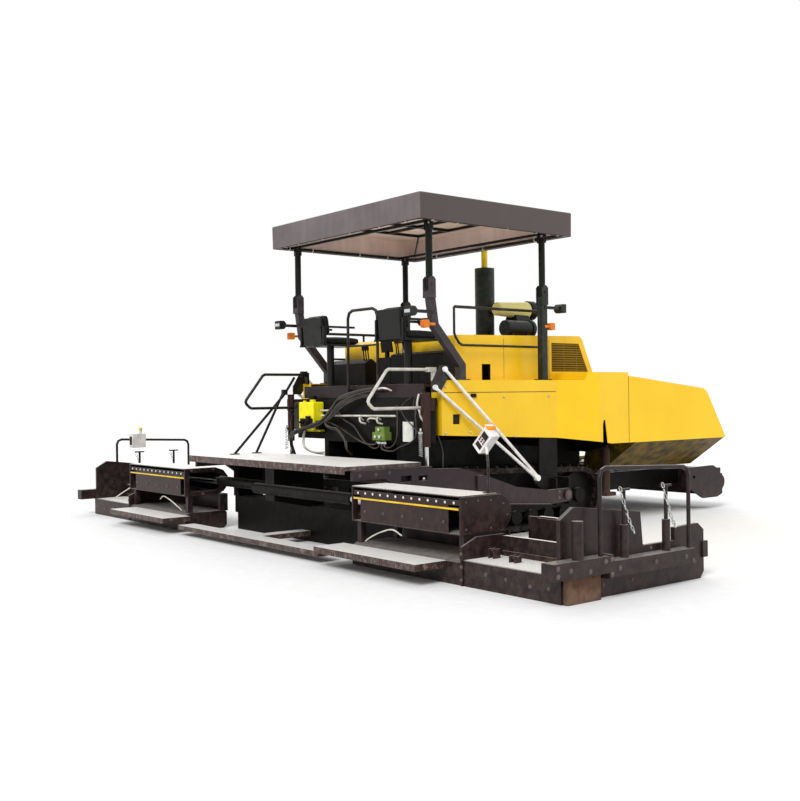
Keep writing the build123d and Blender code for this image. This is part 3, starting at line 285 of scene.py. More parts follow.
def canvas(name, colour, shade, streak, side=None, thread=0.004455):
    """Coated polyester roof cloth, faded in patches, with darker rain streaks down the skirt. Its threads
    are drawn 4.5 mm apart, wider than real ones, so that they show. side is a darker, browner colour
    painted on the skirts along the machine as painted shade."""
    material, tree, shader, place = start(name)
    scale = 2 * math.pi / (20 * thread)         # a wave texture turns 20 radians in a unit of its scale
    waves = [add(tree, "ShaderNodeTexWave", {"Vector": place, "Scale": scale}, wave_type="BANDS",
                 bands_direction=axis).outputs["Fac"] for axis in ("X", "Y")]
    streaks = add(tree, "ShaderNodeMapping", {"Vector": place, "Scale": (9, 9, 0.8)}).outputs[0]
    rain = remap(tree, noise(tree, streaks, 1.0, 5, 0.6), 0.4, 0.7)
    broad = remap(tree, noise(tree, place, 0.5, 4), 0.35, 0.65)
    faded = mix(tree, broad, tint(colour), tint(shade))
    # The skirts along the machine's sides get a darker colour: painted shade
    if side:
        y = add(tree, "ShaderNodeSeparateXYZ", {0: place}).outputs["Y"]
        off_middle = add(tree, "ShaderNodeMath", {0: y}, operation="ABSOLUTE").outputs[0]
        skirt = remap(tree, off_middle, ROOF["half_y"] - 0.012, ROOF["half_y"] - 0.008)
        faded = mix(tree, skirt, faded, tint(side))
    tree.links.new(mix(tree, times(tree, rain, 0.35), faded, tint(streak)), shader.inputs["Base Color"])
    shader.inputs["Roughness"].default_value = 0.72
    shader.inputs["Sheen Weight"].default_value = 0.15
    raise_by(tree, shader, times(tree, waves[0], waves[1]), 0.0006, 0.5)
    return material


def make_materials(colours):
    """Every finish, under a short name. An enamel takes its colour, its cloudy shade, its dust and its
    roughness; metal and moulded take colour, shade and roughness."""
    return {
        # Enamels: deep colours that break into dust low down, and on top into pale patches that are partly
        # rubbed dust and partly painted highlight
        "yellow": machine_paint("yellow machine enamel", colours.yellow, "#e9ba10", "#b9a06a", 0.3,
                                dust_most=0.35, coat=0.1, gleam=0.25),
        "wing": wing_paint(),
        "dark": machine_paint("purple-brown screed enamel", colours.brown, "#191113", "#54453d", 0.4,
                              pale_top_dust_and_highlight=0.35),
        "gear": machine_paint("brown end gear enamel", "#251a1b", "#181112", "#54453d", 0.4, pale_top_dust_and_highlight=0.5),
        "bolt": machine_paint("rubbed brown bolt enamel", "#5d5152", "#3b3132", "#7a6a5f", 0.35, coat=0.1),
        # Yellow slats mixed to brown: painted shade of the dark holes between them
        "grille": machine_paint("yellow grille enamel with painted shade in its holes", "#8c6f1e", "#5e4a18", "#6b5a3a", 0.5,
                                gleam=0.1),
        # Near black: partly the chassis's own dark paint, partly painted shade under the body and the walkway
        "under": machine_paint("near-black chassis enamel with painted shade", "#0f0d0b", "#080706", "#2a211b", 0.5,
                               pale_top_dust_and_highlight=0.15, dust_most=0.25, gleam=0.1),
        "arm": machine_paint("purple-brown arm enamel", "#31252a", "#22191d", "#54453d", 0.38, pale_top_dust_and_highlight=0.45),
        "guard": machine_paint("red-brown guard enamel", "#28191c", "#1b1214", "#614a3d", 0.42, pale_top_dust_and_highlight=0.5),
        "post": machine_paint("green-black post enamel", "#0e150c", "#090e08", "#2c302a", 0.35, gleam=0.12),
        "black": machine_paint("black rail enamel", "#10130f", "#0a0b0a", "#33302c", 0.38, pale_top_dust_and_highlight=0.75),
        "filters": machine_paint("black filter drum enamel", "#0e130f", "#090c0a", "#2c302a", 0.35),
        "cream": machine_paint("pale yellow pre-cleaner enamel", "#f3ea9a", "#e8dc7c", "#b9a06a", 0.35,
                               dust_most=0.1),
        "rust": machine_paint("rusted red-brown primer", "#3a2621", "#241916", "#5f4e43", 0.6, coat=0.0,
                              gleam=0.15),
        "corner": machine_paint("rust on the wear shoe", "#5e4030", "#2e201a", "#8a735f", 0.75, coat=0.0),
        # Steels: dull and rust-bloomed where they are cast or worn, bright where they slide
        # Darker than the steel itself: painted shade of the tracks under the body
        "track": metal("cast track steel darkened with painted shade", "#342e2c", "#1e1a19", 0.55, (1, 1, 1), 0.05, rust="#32251e"),
        "steel": metal("drawn bright steel", "#b7b4b0", "#8f8c88", 0.28),
        "chrome": metal("hard-chromed rod", "#d6d6d4", "#bfbfbd", 0.12),
        "worn": metal("worn auger steel", "#8a7f78", "#5d534e", 0.4, (1, 8, 1), 0.04, rust="#5b4031"),
        # Tread plate: pale rubbed lozenges over a brown edge
        "tread": chequer("painted tread plate", "#fdfcfa", "#dcd7d0", "#f0edea", "#36241e"),
        # Mouldings, coatings and rubber: even colour under a faint grain
        "plastic": moulded("moulded black plastic", "#100d0b", "#191512", gleam=0.12),
        "coated": moulded("black pipe coating", "#1f1914", "#33291f", 0.22, 0.006, gleam=0.6),
        # On the step pipes this pale colour is painted highlight
        "pale": moulded("pale pipe colour", "#e2ded4", "#bdb6a8", 0.4, 0.006),
        "box": moulded("pale moulded case", "#dcd9d6", "#c4c0bd", 0.45, 0.005),
        "knob": moulded("dark red knob plastic", "#6b1d16", "#54150f", 0.3, 0.004),
        "ball": moulded("yellow knob plastic", "#f2c91c", "#d8ac14", 0.35, 0.004),
        "window": moulded("smoked window plastic", "#17140f", "#221e18", 0.7, 0.004),
        "stud": moulded("white stud plastic", "#e4e2dc", "#c9c6bf", 0.6, 0.003),
        "cord": moulded("white polyester cord", "#e4e2dc", "#c9c6bf", 0.6, 0.003),
        "stripe": moulded("yellow reflective strip", "#f2c91c", "#d8ac14", 0.35, 0.004),
        "gap": moulded("dark joint filler and painted hole shade", "#17140f", "#221e18", 0.7, 0.004),
        "glass": moulded("ribbed lamp glass", "#d9dde0", "#b7bcc0", 0.12, 0.008),
        "amber": moulded("amber lens plastic", "#e8741a", "#c95c10", 0.2, 0.006),
        "orange": moulded("orange rubber cap", "#f29a1c", "#d98412", 0.5, 0.006),
        "floor": moulded("pale studio floor", "#f4f4f4", "#f0f0f0", 0.9, 0.4),
        # Soft goods
        "vinyl": vinyl(),
        # Its last colour is painted shade on the side skirts
        "cloth": canvas("coated woven roof cloth", colours.roof, "#5a5052", "#3e3635", "#463b39"),
        "lining": canvas("roof lining cloth", colours.lining, "#d8c3be", "#b9a5a1"),
        # Solids that have more than one colour, each colour from its place along an axis
        "stalked": zoned("pale case on a dark stalk", "Z", "#1a1613", (1.085, "#e6e3e0")),
        "lamp": zoned("lamp housings", "Z", "#e07a1a", (2.447, "#121512")),
        "tanks": zoned("rear hydraulics", "Y", "#eef0e8", (-0.70, "#6f8a35"), (0.0, "#15150f"),
                       (0.70, "#f6e916"), (1.03, "#15150f")),
        # The right grab rail is drawn pale all over as painted highlight; the rest are dark
        "rails": zoned("rail enamel with a painted highlight on the right", "Y", "#c9c4bb", (-1.19, "#18130f")),
        "brackets": zoned("lower post enamel", "X", "#322a30", (-1.2, "#131c12")),
        "stays": zoned("white stay enamel on dark lugs", "Y", "#1d1a18", (1.345, "#f0eeea"),
                       either_side=True),
        "exhaust": zoned("exhaust and its outlet", "Z", "#101a10", (3.262, "#f2cf24")),
    }


def pair(*stems):
    """The names of the left and the right node of each stem."""
    return [f"{stem}_{name}" for stem in stems for name, _ in SIDES]


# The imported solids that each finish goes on
FINISH_OF = {
    "yellow": ["hood_shell", *pair("side_cover")],
    "wing": pair("hopper_wing"),
    "dark": ["push_beam", "deck_platform", *pair("extension_screed", "bolt_on", "end_plate", "push_roller")],
    # These parts are darkened with painted shade of the underbody and of the space under the walkway
    "under": ["chassis_frame", "engine_block", "auger_frame", "hopper_apron", "main_screed",
              *pair("track_frame")],
    "arm": pair("tow_arm"),
    "guard": pair("extension_guard"),
    "post": ["canopy_posts_rear", "canopy_posts_front"],
    "brackets": ["canopy_brackets"],
    "rails": ["handrails"],
    "filters": ["air_cleaner"],
    "black": ["canopy_frame", "seat_frames"],
    "gear": pair("end_gear"),
    "grille": ["hood_grilles"],
    "track": pair("track"),
    "chrome": ["lift_rods", *pair("guide_rod")],
    "stays": ["stays"],
    "worn": ["conveyor", *pair("auger")],
    "rust": ["lift_barrels", "wing_cylinders"],
    "tread": ["walkway", "main_footboard", *pair("footboard")],
    "plastic": ["consoles"],
    "box": ["control_box_left"],
    "stalked": ["control_box_right"],
    "lamp": ["lamps"],
    "tanks": ["rear_hydraulics"],
    "exhaust": ["exhaust_stack"],
    "vinyl": ["seat_cushions"],
    "cloth": ["canopy_cover"],
}
FINISHES = {}


def finish(obj, name):
    """Give one object one of the finishes."""
    if not obj.material_slots:
        obj.data.materials.append(FINISHES[name])
    for place in obj.material_slots:
        place.material = FINISHES[name]


# Shapes
def shell(points, along=False):
    """Corners and quads of a grid of points whose last column is joined to its first; along joins the last
    row to the first row too."""
    rows, columns = points.shape[:2]
    index = np.arange(rows * columns).reshape(rows, columns)
    index = np.concatenate([index, index[:, :1]], 1)
    if along:
        index = np.concatenate([index, index[:1]], 0)
    quads = np.stack([index[:-1, :-1], index[:-1, 1:], index[1:, 1:], index[1:, :-1]], -1).reshape(-1, 4)
    return points.reshape(-1, 3), quads


def piece(name, parts, body, finish_name, smooth=35):
    """One mesh from several (corners, faces) parts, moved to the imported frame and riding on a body. Its
    doubled corners are merged before its faces are turned outwards, and edges blunter than smooth, in
    degrees, are shaded round."""
    corners, faces, base = [], [], 0
    for points, quads in parts:
        corners.append(points + (DECK_REAR, 0, 0))
        faces.extend((np.asarray(quads) + base).tolist())
        base += len(points)
    mesh = bpy.data.meshes.new(name)
    mesh.from_pydata(np.concatenate(corners).tolist(), [], faces)
    mesh.validate()
    obj = bpy.data.objects.new(name, mesh)
    bpy.context.scene.collection.objects.link(obj)
    bpy.ops.object.select_all(action="DESELECT")
    bpy.context.view_layer.objects.active = obj
    obj.select_set(True)
    bpy.ops.object.mode_set(mode="EDIT")
    bpy.ops.mesh.select_all(action="SELECT")
    bpy.ops.mesh.remove_doubles(threshold=0.00002)
    bpy.ops.mesh.normals_make_consistent(inside=False)
    bpy.ops.object.mode_set(mode="OBJECT")
    bpy.ops.object.shade_smooth_by_angle(angle=math.radians(smooth))
    obj.select_set(False)
    finish(obj, finish_name)
    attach(obj, body)
    return obj


def pad(centre, half, corner, count=12):
    """A box with rounded edges: a sphere's grid of directions n, moved out to
    sign(n) * (half - corner) + corner * n."""
    u = np.linspace(0, 2 * math.pi, count * 2, endpoint=False) + math.pi / (count * 2)
    v = np.linspace(0.0, math.pi, count)
    u, v = np.meshgrid(u, v)
    n = np.stack([np.sin(v) * np.cos(u), np.sin(v) * np.sin(u), np.cos(v)], -1)
    points = np.sign(np.where(abs(n) < 1e-6, 0, n)) * (np.array(half) - corner) + corner * n
    return shell(points + np.array(centre))


def spin(profile, base, direction, sides=16):
    """A turned form: (distance along, radius) pairs carried round the axis through base."""
    profile = np.array(profile, float)
    axis = np.array(direction, float) / np.linalg.norm(direction)
    other = np.cross(axis, (0, 0, 1) if abs(axis[2]) < 0.9 else (1, 0, 0))
    other /= np.linalg.norm(other)
    third = np.cross(axis, other)
    angle = np.linspace(0, 2 * math.pi, sides, endpoint=False)
    ring = np.cos(angle)[:, None] * other + np.sin(angle)[:, None] * third
    points = np.array(base) + profile[:, :1, None] * axis + profile[:, 1:, None] * ring
    return shell(points)


def tube(path, radius, sides=10, closed=False):
    """A round section carried along a smooth path of points, capped at its ends unless closed."""
    path = np.array(path, float)
    if closed:
        tangent = np.roll(path, -1, 0) - np.roll(path, 1, 0)
    else:
        tangent = np.gradient(path, axis=0)
    tangent /= np.linalg.norm(tangent, axis=1)[:, None]
    guide = np.array([0.31, 0.17, 0.93]) if abs(tangent[:, 2]).mean() < 0.7 else np.array([0.93, 0.31, 0.17])
    side = np.cross(tangent, guide)
    side /= np.linalg.norm(side, axis=1)[:, None]
    up = np.cross(side, tangent)
    angle = np.linspace(0, 2 * math.pi, sides, endpoint=False)
    ring = np.cos(angle)[None, :, None] * side[:, None] + np.sin(angle)[None, :, None] * up[:, None]
    points = path[:, None] + radius * ring
    if not closed:
        first, last = (np.repeat(end[:, None], sides, 1) for end in (path[:1], path[-1:]))
        points = np.concatenate([first, points, last])
    return shell(points, along=closed)


def curve_through(points, steps=10):
    """A smooth line through the points: cubic Hermite spans with Catmull-Rom slopes."""
    points = np.array(points, float)
    ends = np.concatenate([2 * points[:1] - points[1:2], points, 2 * points[-1:] - points[-2:-1]])
    t = np.linspace(0, 1, steps, endpoint=False)[None, :, None]
    a, b, c, d = (ends[i:len(ends) - 3 + i, None] for i in range(4))
    square, cube = 2 * a - 5 * b + 4 * c - d, 3 * b - a - 3 * c + d
    spans = 0.5 * (2 * b + (c - a) * t + square * t ** 2 + cube * t ** 3)
    return np.concatenate([spans.reshape(-1, 3), points[-1:]])


def pipe(route, radius, sides=10, steps=8):
    """A bent pipe through chosen points."""
    return tube(curve_through(route, steps), radius, sides)


def blocks(rows):
    """Boxes with softened edges, each a pad of few columns. A row is (x0, x1, y0, y1, z0, z1, rounding)."""
    parts = []
    for x0, x1, y0, y1, z0, z1, rounding in rows:
        middle = ((x0 + x1) / 2, (y0 + y1) / 2, (z0 + z1) / 2)
        parts.append(pad(middle, ((x1 - x0) / 2, (y1 - y0) / 2, (z1 - z0) / 2), rounding, count=8))
    return parts


def tread_plate(x0, x1, y0, y1, face):
    """A chequered plate 4.2 mm thick on the face at the height face."""
    return blocks([(x0, x1, y0, y1, face + CLEAR, face + 0.0045, 0.0015)])


def bolt(at, normal, radius, height=0.011):
    """A hexagon head with a washer: a turned form of six sides on a round foot."""
    foot = spin([(0, 0), (0, radius * 1.5), (0.003, radius * 1.5), (0.003, 0)], at, normal, 14)
    head = spin([(0.002, 0), (0.002, radius), (height * 0.8, radius), (height, radius * 0.8), (height, 0)],
                at, normal, 6)
    return [foot, head]


def bolts(places, normal, radius):
    """A bolt at each place, all facing the same way."""
    return [part for at in places for part in bolt(at, normal, radius)]


def mirrored(parts, sign):
    """The parts as made for the left, or turned over to the right for sign -1."""
    return [(points * (1, sign, 1), quads) for points, quads in parts]


def each_side(stem, parts, body, finish_name):
    """The left piece and its mirrored twin. {side} in the body's name becomes left or right."""
    for name, sign in SIDES:
        piece(f"{stem}_{name}", mirrored(parts, sign), body.format(side=name), finish_name)


def soft_block(half, corner_plan, corner_side, crown, grooves, count=56):
    """A stuffed block: a superellipsoid x = hx c(v)^a c(u)^b, y = hy c(v)^a s(u)^b, z = hz s(v)^a, whose top
    is crowned by (1 - x^2)(1 - y^2) and pressed in along sewn channels of Gaussian section at each groove."""
    u = np.linspace(0, 2 * math.pi, count * 2, endpoint=False)
    v = np.linspace(-math.pi / 2, math.pi / 2, count)
    u, v = np.meshgrid(u, v)

    def power(value, exponent):
        return np.sign(value) * np.abs(value) ** exponent

    ring = power(np.cos(v), corner_side)
    unit = np.stack([ring * power(np.cos(u), corner_plan), ring * power(np.sin(u), corner_plan),
                     power(np.sin(v), corner_side)], -1)
    points = unit * np.array(half)
    upper = np.clip(unit[..., 2] * 2.5, 0, 1)
    points[..., 2] += upper * crown * (1 - unit[..., 0] ** 2) * (1 - unit[..., 1] ** 2)
    for axis, place, width, depth in grooves:
        points[..., 2] -= upper * depth * np.exp(-((points[..., axis] - place) / width) ** 2)
    return points


def laid(points, centre, tilt=0.0):
    """Grid points leaned back about the Y axis and set at a place."""
    c, s = math.cos(tilt), math.sin(tilt)
    turned = points @ np.array([[c, 0, -s], [0, 1, 0], [s, 0, c]])
    return shell(turned + np.array(centre))


def link(middle, along, across, wire, steps=16, sides=7):
    """One chain link: a round wire carried round a stadium whose long axis is along."""
    angle = np.linspace(0, 2 * math.pi, steps, endpoint=False)[:, None]
    bend = LINK_WIDTH / 2 - wire
    straight = (LINK_LENGTH - LINK_WIDTH) / 2
    lengthways = (np.cos(angle) * bend + np.sign(np.cos(angle)) * straight) * along
    return tube(np.array(middle) + lengthways + np.sin(angle) * bend * across, wire, sides, closed=True)


def chain(start, end, sag, wire):
    """Links along a parabola that hangs sag metres below the straight line between its ends."""
    start, end = np.array(start, float), np.array(end, float)
    pitch = LINK_LENGTH - 2.6 * wire        # each link's end hooks into the next one's
    slack = 1.06                            # the chain's length over the straight distance
    count = max(3, int(np.linalg.norm(end - start) * slack / pitch))
    t = np.linspace(0, 1, count)[:, None]
    middle = start + (end - start) * t - np.array([0, 0, 4 * sag]) * t * (1 - t)
    tangent = np.gradient(middle, axis=0)
    tangent /= np.linalg.norm(tangent, axis=1)[:, None]
    parts = []
    for index, (at, along) in enumerate(zip(middle, tangent)):
        across = np.cross(along, (0.3, 0.8, 0.2) if index % 2 else (0.8, -0.3, 0.4))
        parts.append(link(at, along, across / np.linalg.norm(across), wire))
    return parts


# Sizes and colours that a user may change
class PaverSizes(bpy.types.PropertyGroup):
    roof_sag: bpy.props.FloatProperty(
        name="Roof sag", description="How far the roof cloth hangs between its bars", default=0.012,
        unit="LENGTH", subtype="DISTANCE")
    cushion_crown: bpy.props.FloatProperty(
        name="Cushion crown", description="Rise of a seat cushion over its edges", default=0.016,
        unit="LENGTH", subtype="DISTANCE")
    chain_wire: bpy.props.FloatProperty(
        name="Chain wire", description="Radius of the wire of a chain link", default=0.0045,
        unit="LENGTH", subtype="DISTANCE")
    bolt_radius: bpy.props.FloatProperty(
        name="Bolt head", description="Radius of the larger bolt heads", default=0.014,
        unit="LENGTH", subtype="DISTANCE")


class PaverColours(bpy.types.PropertyGroup):
    yellow: bpy.props.FloatVectorProperty(
        name="Yellow", description="Enamel of the covers and the hood", default=tint("#f2c516")[:3],
        size=3, min=0, max=1, subtype="COLOR")
    brown: bpy.props.FloatVectorProperty(
        name="Brown", description="Enamel of the push beam, the deck and the screed's extensions",
        default=tint("#26191c")[:3], size=3, min=0, max=1, subtype="COLOR")
    roof: bpy.props.FloatVectorProperty(
        name="Roof", description="Outside of the roof cloth", default=tint("#6b6061")[:3],
        size=3, min=0, max=1, subtype="COLOR")
    lining: bpy.props.FloatVectorProperty(
        name="Lining", description="Inside of the roof cloth", default=tint("#ebd7d2")[:3],
        size=3, min=0, max=1, subtype="COLOR")


class PAVER_OT_finishes(bpy.types.Operator):
    """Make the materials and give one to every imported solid"""
    bl_idname = "paver.finishes"
    bl_label = "Finishes"

    def execute(self, context):
        FINISHES.update(make_materials(context.scene.paver_colours))
        dressed = {node: name for name, nodes in FINISH_OF.items() for node in nodes}
        for node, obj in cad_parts.items():
            finish(obj, dressed[node])
        return {"FINISHED"}


def rounded_outline(half, corner, side_points=40, corner_points=7):
    """A rectangle with round corners as one ring: each corner is a quarter circle about its own centre,
    and the straight runs between them are divided evenly."""
    quarter = np.linspace(0, math.pi / 2, corner_points)
    arc = np.stack([np.cos(quarter), np.sin(quarter)], -1) * corner
    ring = []
    for turn, signs in enumerate([(1, 1), (-1, 1), (-1, -1), (1, -1)]):
        c, s = math.cos(turn * math.pi / 2), math.sin(turn * math.pi / 2)
        ring.append(arc @ np.array([[c, s], [-s, c]]) + np.array(signs) * (half - corner))
    runs = []
    for index, part in enumerate(ring):
        following = ring[(index + 1) % 4]
        runs.append(part)
        runs.append(np.linspace(part[-1], following[0], side_points)[1:-1])
    return np.concatenate(runs)


def roof_cloth(inset, sag, across=46, down=12, roll=0.018):
    """The roof as one sheet: rings of a rounded rectangle grow from the middle to the edge, roll over it on a
    quarter circle and fall as the skirt. Between the bars the top hangs by sag times a squared sine each way;
    the skirt stands in by a few millimetres in two slow waves that grow downward."""
    half = np.array([ROOF["half_x"], ROOF["half_y"]]) - inset
    rim = rounded_outline(half, 0.03)
    count = len(rim)
    top = ROOF["top"] - 0.002 - inset
    inner = rim * (1 - roll / half)
    rings = []
    for share in np.linspace(0.004, 1, across):
        x, y = (inner * share).T
        low = np.ones(count)
        for place, bars in ((x, BAR_X), (y, BAR_Y)):
            t = [np.clip((place - a) / (b - a), 0, 1) for a, b in zip(bars, bars[1:])]
            low = low * np.max(np.sin(math.pi * np.array(t)) ** 2, 0)
        rings.append(np.stack([x, y, top - sag * low], -1))
    for turn in np.linspace(0, math.pi / 2, 6)[1:]:
        ring = inner + (rim - inner) * math.sin(turn)
        rings.append(np.stack([*ring.T, np.full(count, top - roll * (1 - math.cos(turn)))], -1))
    run = np.arctan2(rim[:, 1], rim[:, 0])
    wave = 0.6 * np.sin(9 * run + 0.7) + 0.4 * np.sin(23 * run + 2.1)
    for t in np.linspace(0, 1, down)[1:]:
        ring = rim * (1 - (0.001 + 0.002 * t * (1 + wave))[:, None])
        z = top - roll - t * (ROOF["skirt"] - roll - 0.006)
        rings.append(np.stack([*ring.T, np.full(count, z)], -1))
    return np.stack(rings) + (ROOF["centre"], 0, 0)


class PAVER_OT_roof(bpy.types.Operator):
    """The roof cloth with its lining and hem"""
    bl_idname = "paver.roof"
    bl_label = "Roof cloth"

    def execute(self, context):
        sag = context.scene.paver_sizes.roof_sag
        outer = roof_cloth(0.0, sag)
        inner = roof_cloth(0.004, sag)
        cord = tube(inner[-1] + (0, 0, 0.003), 0.0045, 8, closed=True)
        hem = piece("roof_hem", [cord], "canopy_roof", "cloth")
        cloth = piece("roof_cloth", [shell(outer)], "canopy_roof", "cloth",
                      smooth=50)
        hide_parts("canopy_cover")
        lining = piece("roof_lining", [shell(inner)], "canopy_roof", "lining",
                       smooth=50)
        return {"FINISHED"}


class PAVER_OT_roof_ties(bpy.types.Operator):
    """White ties that hold the roof's lining to the lower tubes: a ring round the tube and a short tail"""
    bl_idname = "paver.roof_ties"
    bl_label = "Roof ties"

    def execute(self, context):
        tube_z, ring = 3.482, 0.025
        half_x, half_y = ROOF["half_x"] - 0.06, ROOF["half_y"] - 0.06
        turn = np.linspace(0, 2 * math.pi, 14, endpoint=False)
        level, upright, none = ring * np.cos(turn), ring * np.sin(turn), np.zeros(14)
        round_x_tube = np.stack([none, level, upright], -1)
        round_y_tube = np.stack([level, none, upright], -1)
        places = [(x, side * half_y, round_x_tube) for x in (-0.95, -0.6, 0.15, 0.62, 0.98)
                  for side in (-1, 1)]
        places += [(-half_x, y, round_y_tube) for y in (-1.15, -0.7, -0.15, 0.4, 0.9, 1.2)]
        places += [(half_x, y, round_y_tube) for y in (-0.9, 0.0, 0.9)]
        ties = []
        for x, y, loop in places:
            at = np.array((ROOF["centre"] + x, y, tube_z))
            ties.append(tube(loop + at, 0.005, 6, closed=True))
            tail = at + np.array([(0, 0, 0.022), (0.008, 0.006, 0.06), (-0.004, 0, 0.11)])
            ties.append(pipe(tail, 0.004, 6, 4))
        piece("roof_ties", ties, "canopy_roof", "cord")
        return {"FINISHED"}


class PAVER_OT_seats(bpy.types.Operator):
    """The crowned and channelled cushions and backs of the two seats"""
    bl_idname = "paver.seats"
    bl_label = "Seats"

    def execute(self, context):
        crown = context.scene.paver_sizes.cushion_crown
        seat_grooves = [(1, -0.125, 0.006, 0.010), (1, 0.125, 0.006, 0.010), (0, -0.08, 0.006, 0.007),
                        (0, 0.08, 0.006, 0.007)]        # axis, place, width, depth
        back_grooves = [(1, -0.11, 0.006, 0.009), (1, 0.11, 0.006, 0.009), (0, -0.02, 0.006, 0.007)]
        cushion = soft_block((0.252, 0.213, 0.040), 0.30, 0.42, crown, seat_grooves)
        rest = soft_block((0.118, 0.182, 0.050), 0.32, 0.45, crown, back_grooves)
        lean = math.radians(-98)
        seat_y = 0.75
        for name, sign in SIDES:
            y = seat_y * sign
            seat = piece(f"seat_cushion_{name}", [laid(cushion, (0.165, y, 2.2805))], "tractor", "vinyl",
                         smooth=60)
            back = piece(f"seat_back_{name}", [laid(rest, (-0.066, y, 2.467), lean)], "tractor", "vinyl",
                         smooth=60)
            for obj, fill in ((seat, 0.8), (back, 0.75)):
                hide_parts("seat_cushions")
        return {"FINISHED"}


def cheek(y0, y1, turn_x=-0.960, steps=22, soft=0.003):
    """A guard's round-fronted end plate: its outline is two straight sides and a half circle about turn_x,
    carried across from y0 to y1 as a ring, with its corners rolled over by soft and both faces filled by
    rings that shrink to the middle."""
    rear, low, high = SCREED_REAR + 0.004, GUARD["low"] + 0.004, GUARD["top"] - 0.004
    middle, radius = (low + high) / 2, (high - low) / 2
    angle = np.linspace(-math.pi / 2, math.pi / 2, steps)
    front = np.stack([turn_x + np.cos(angle) * radius, middle + np.sin(angle) * radius], -1)
    outline = np.concatenate([front, [(rear, high), (rear, low)]])
    centre = np.array([(rear + turn_x) / 2 + 0.05, middle])
    rings = []
    for share, y in ((0.0, y0), (1.0, y0), (1.0, y1 - soft), (1 - soft * 4, y1), (0.0, y1)):
        ring = centre + (outline - centre) * share
        rings.append(np.stack([ring[:, 0], np.full(len(ring), y), ring[:, 1]], -1))
    return shell(np.stack(rings))


class PAVER_OT_guards(bpy.types.Operator):
    """Chequered tops, white studs, the yellow stripe, end cheeks and bolts of the extension guards"""
    bl_idname = "paver.guards"
    bl_label = "Guards"

    def execute(self, context):
        radius = context.scene.paver_sizes.bolt_radius
        body, inner, outer = "extension_{side}", GUARD["inner"], GUARD["outer"]
        top = tread_plate(SCREED_REAR + 0.002, -0.962, inner + 0.002, outer - 0.002, GUARD["top"])
        each_side("guard_top", top, body, "tread")
        stud = [(0, 0), (0, 0.011), (0.004, 0.0125), (0.007, 0.008), (0.0075, 0)]
        studs = [spin(stud, (SCREED_REAR + 0.0048, y, 0.692), (-1, 0, 0), 12)
                 for y in np.linspace(1.80, 3.16, 13)]
        each_side("guard_studs", studs, body, "stud")
        stripe = blocks([(SCREED_REAR - 0.0015, SCREED_REAR + 0.0018, 1.73, 3.22, 0.632, 0.648, 0.001)])
        each_side("guard_stripe", stripe, body, "stripe")
        cheek_face = outer + 0.0082
        each_side("guard_end", [cheek(outer + BOLT_CLEAR, cheek_face)], body, "guard")
        inside = [(-1.15, 0.44), (-1.30, 0.73), (-1.0, 0.73)]        # X, Z
        on_cheek = [(-1.34, 0.70), (-1.34, 0.47), (-1.20, 0.705), (-1.05, 0.70), (-0.90, 0.66), (-0.85, 0.56),
                    (-1.05, 0.46)]
        heads = bolts([(x, inner - 0.001, z) for x, z in inside], (0, -1, 0), radius * 0.8)
        heads += bolts([(x, cheek_face + 0.0001, z) for x, z in on_cheek], (0, 1, 0), radius * 0.5)
        heads += bolts([(SCREED_REAR + 0.0077, y, 0.52) for y in np.linspace(1.90, 3.02, 5)], (-1, 0, 0),
                       radius * 0.7)
        each_side("guard_bolts", heads, body, "bolt")
        return {"FINISHED"}


class PAVER_OT_end_steps(bpy.types.Operator):
    """Step plates, worn edges and ledges, lugs and painted-highlight pale pipes of the bolted end sections
    and the guards
    """
    bl_idname = "paver.end_steps"
    bl_label = "End steps"

    def execute(self, context):
        body = "extension_{side}"
        top = tread_plate(SCREED_REAR + 0.002, -0.945, 3.278, STEP_OUTER - 0.002, STEP_TOP)
        each_side("bolt_on_top", top, body, "tread")
        edges = [tube([(SCREED_REAR - 0.0005, y, z) for y in (y0, y1)], radius, 8)
                 for y0, y1, z, radius in ((3.28, 4.32, STEP_TOP + 0.0015, 0.005),
                                           (1.72, 3.23, GUARD["top"] + 0.0015, 0.004))]
        each_side("worn_edges", edges, body, "steel")
        low = STEP_TOP + 0.0005
        lugs = blocks([(-1.16, -1.08, 3.33, 3.345, low, 0.300, 0.004),
                       (-1.16, -1.08, 3.39, 3.405, low, 0.300, 0.004),
                       (-1.20, -1.12, 3.62, 3.635, low, 0.275, 0.004),
                       (-1.20, -1.12, 3.68, 3.695, low, 0.275, 0.004),
                       (-0.965, -0.945, 3.30, 4.325, low, 0.262, 0.003)])
        pin = [(0, 0), (0, 0.016), (0.09, 0.016), (0.09, 0)]
        lugs += [spin(pin, at, (0, 1, 0), 14) for at in ((-1.12, 3.322, 0.270), (-1.16, 3.612, 0.250))]
        each_side("step_lugs", lugs, body, "guard")
        ledges = blocks([(-0.5005, -0.4545, 3.30, 4.325, 0.5145, 0.5185, 0.001),
                         (-0.9425, -0.8985, 3.30, 4.325, 0.3848, 0.3888, 0.001)])
        each_side("worn_ledges", ledges, body, "tread")
        from_guard = [(-1.02, 3.22, 0.405), (-1.06, 3.31, 0.39), (-1.10, 3.42, 0.46), (-1.14, 3.60, 0.44),
                      (-1.20, 3.86, 0.33), (-1.24, 4.05, 0.24)]
        under_guard = [(-1.36, 2.42, 0.34), (-1.375, 2.30, 0.385), (-1.37, 2.12, 0.345), (-1.36, 1.95, 0.28),
                       (-1.35, 1.86, 0.235)]
        # These hoses are drawn pale all over: painted highlight in place of black hoses that shine
        for (name, sign), routes in zip(SIDES, ((from_guard, under_guard), (under_guard,))):
            piece(f"step_pipes_{name}", mirrored([pipe(route, 0.007) for route in routes], sign),
                  f"extension_{name}", "pale")
        return {"FINISHED"}


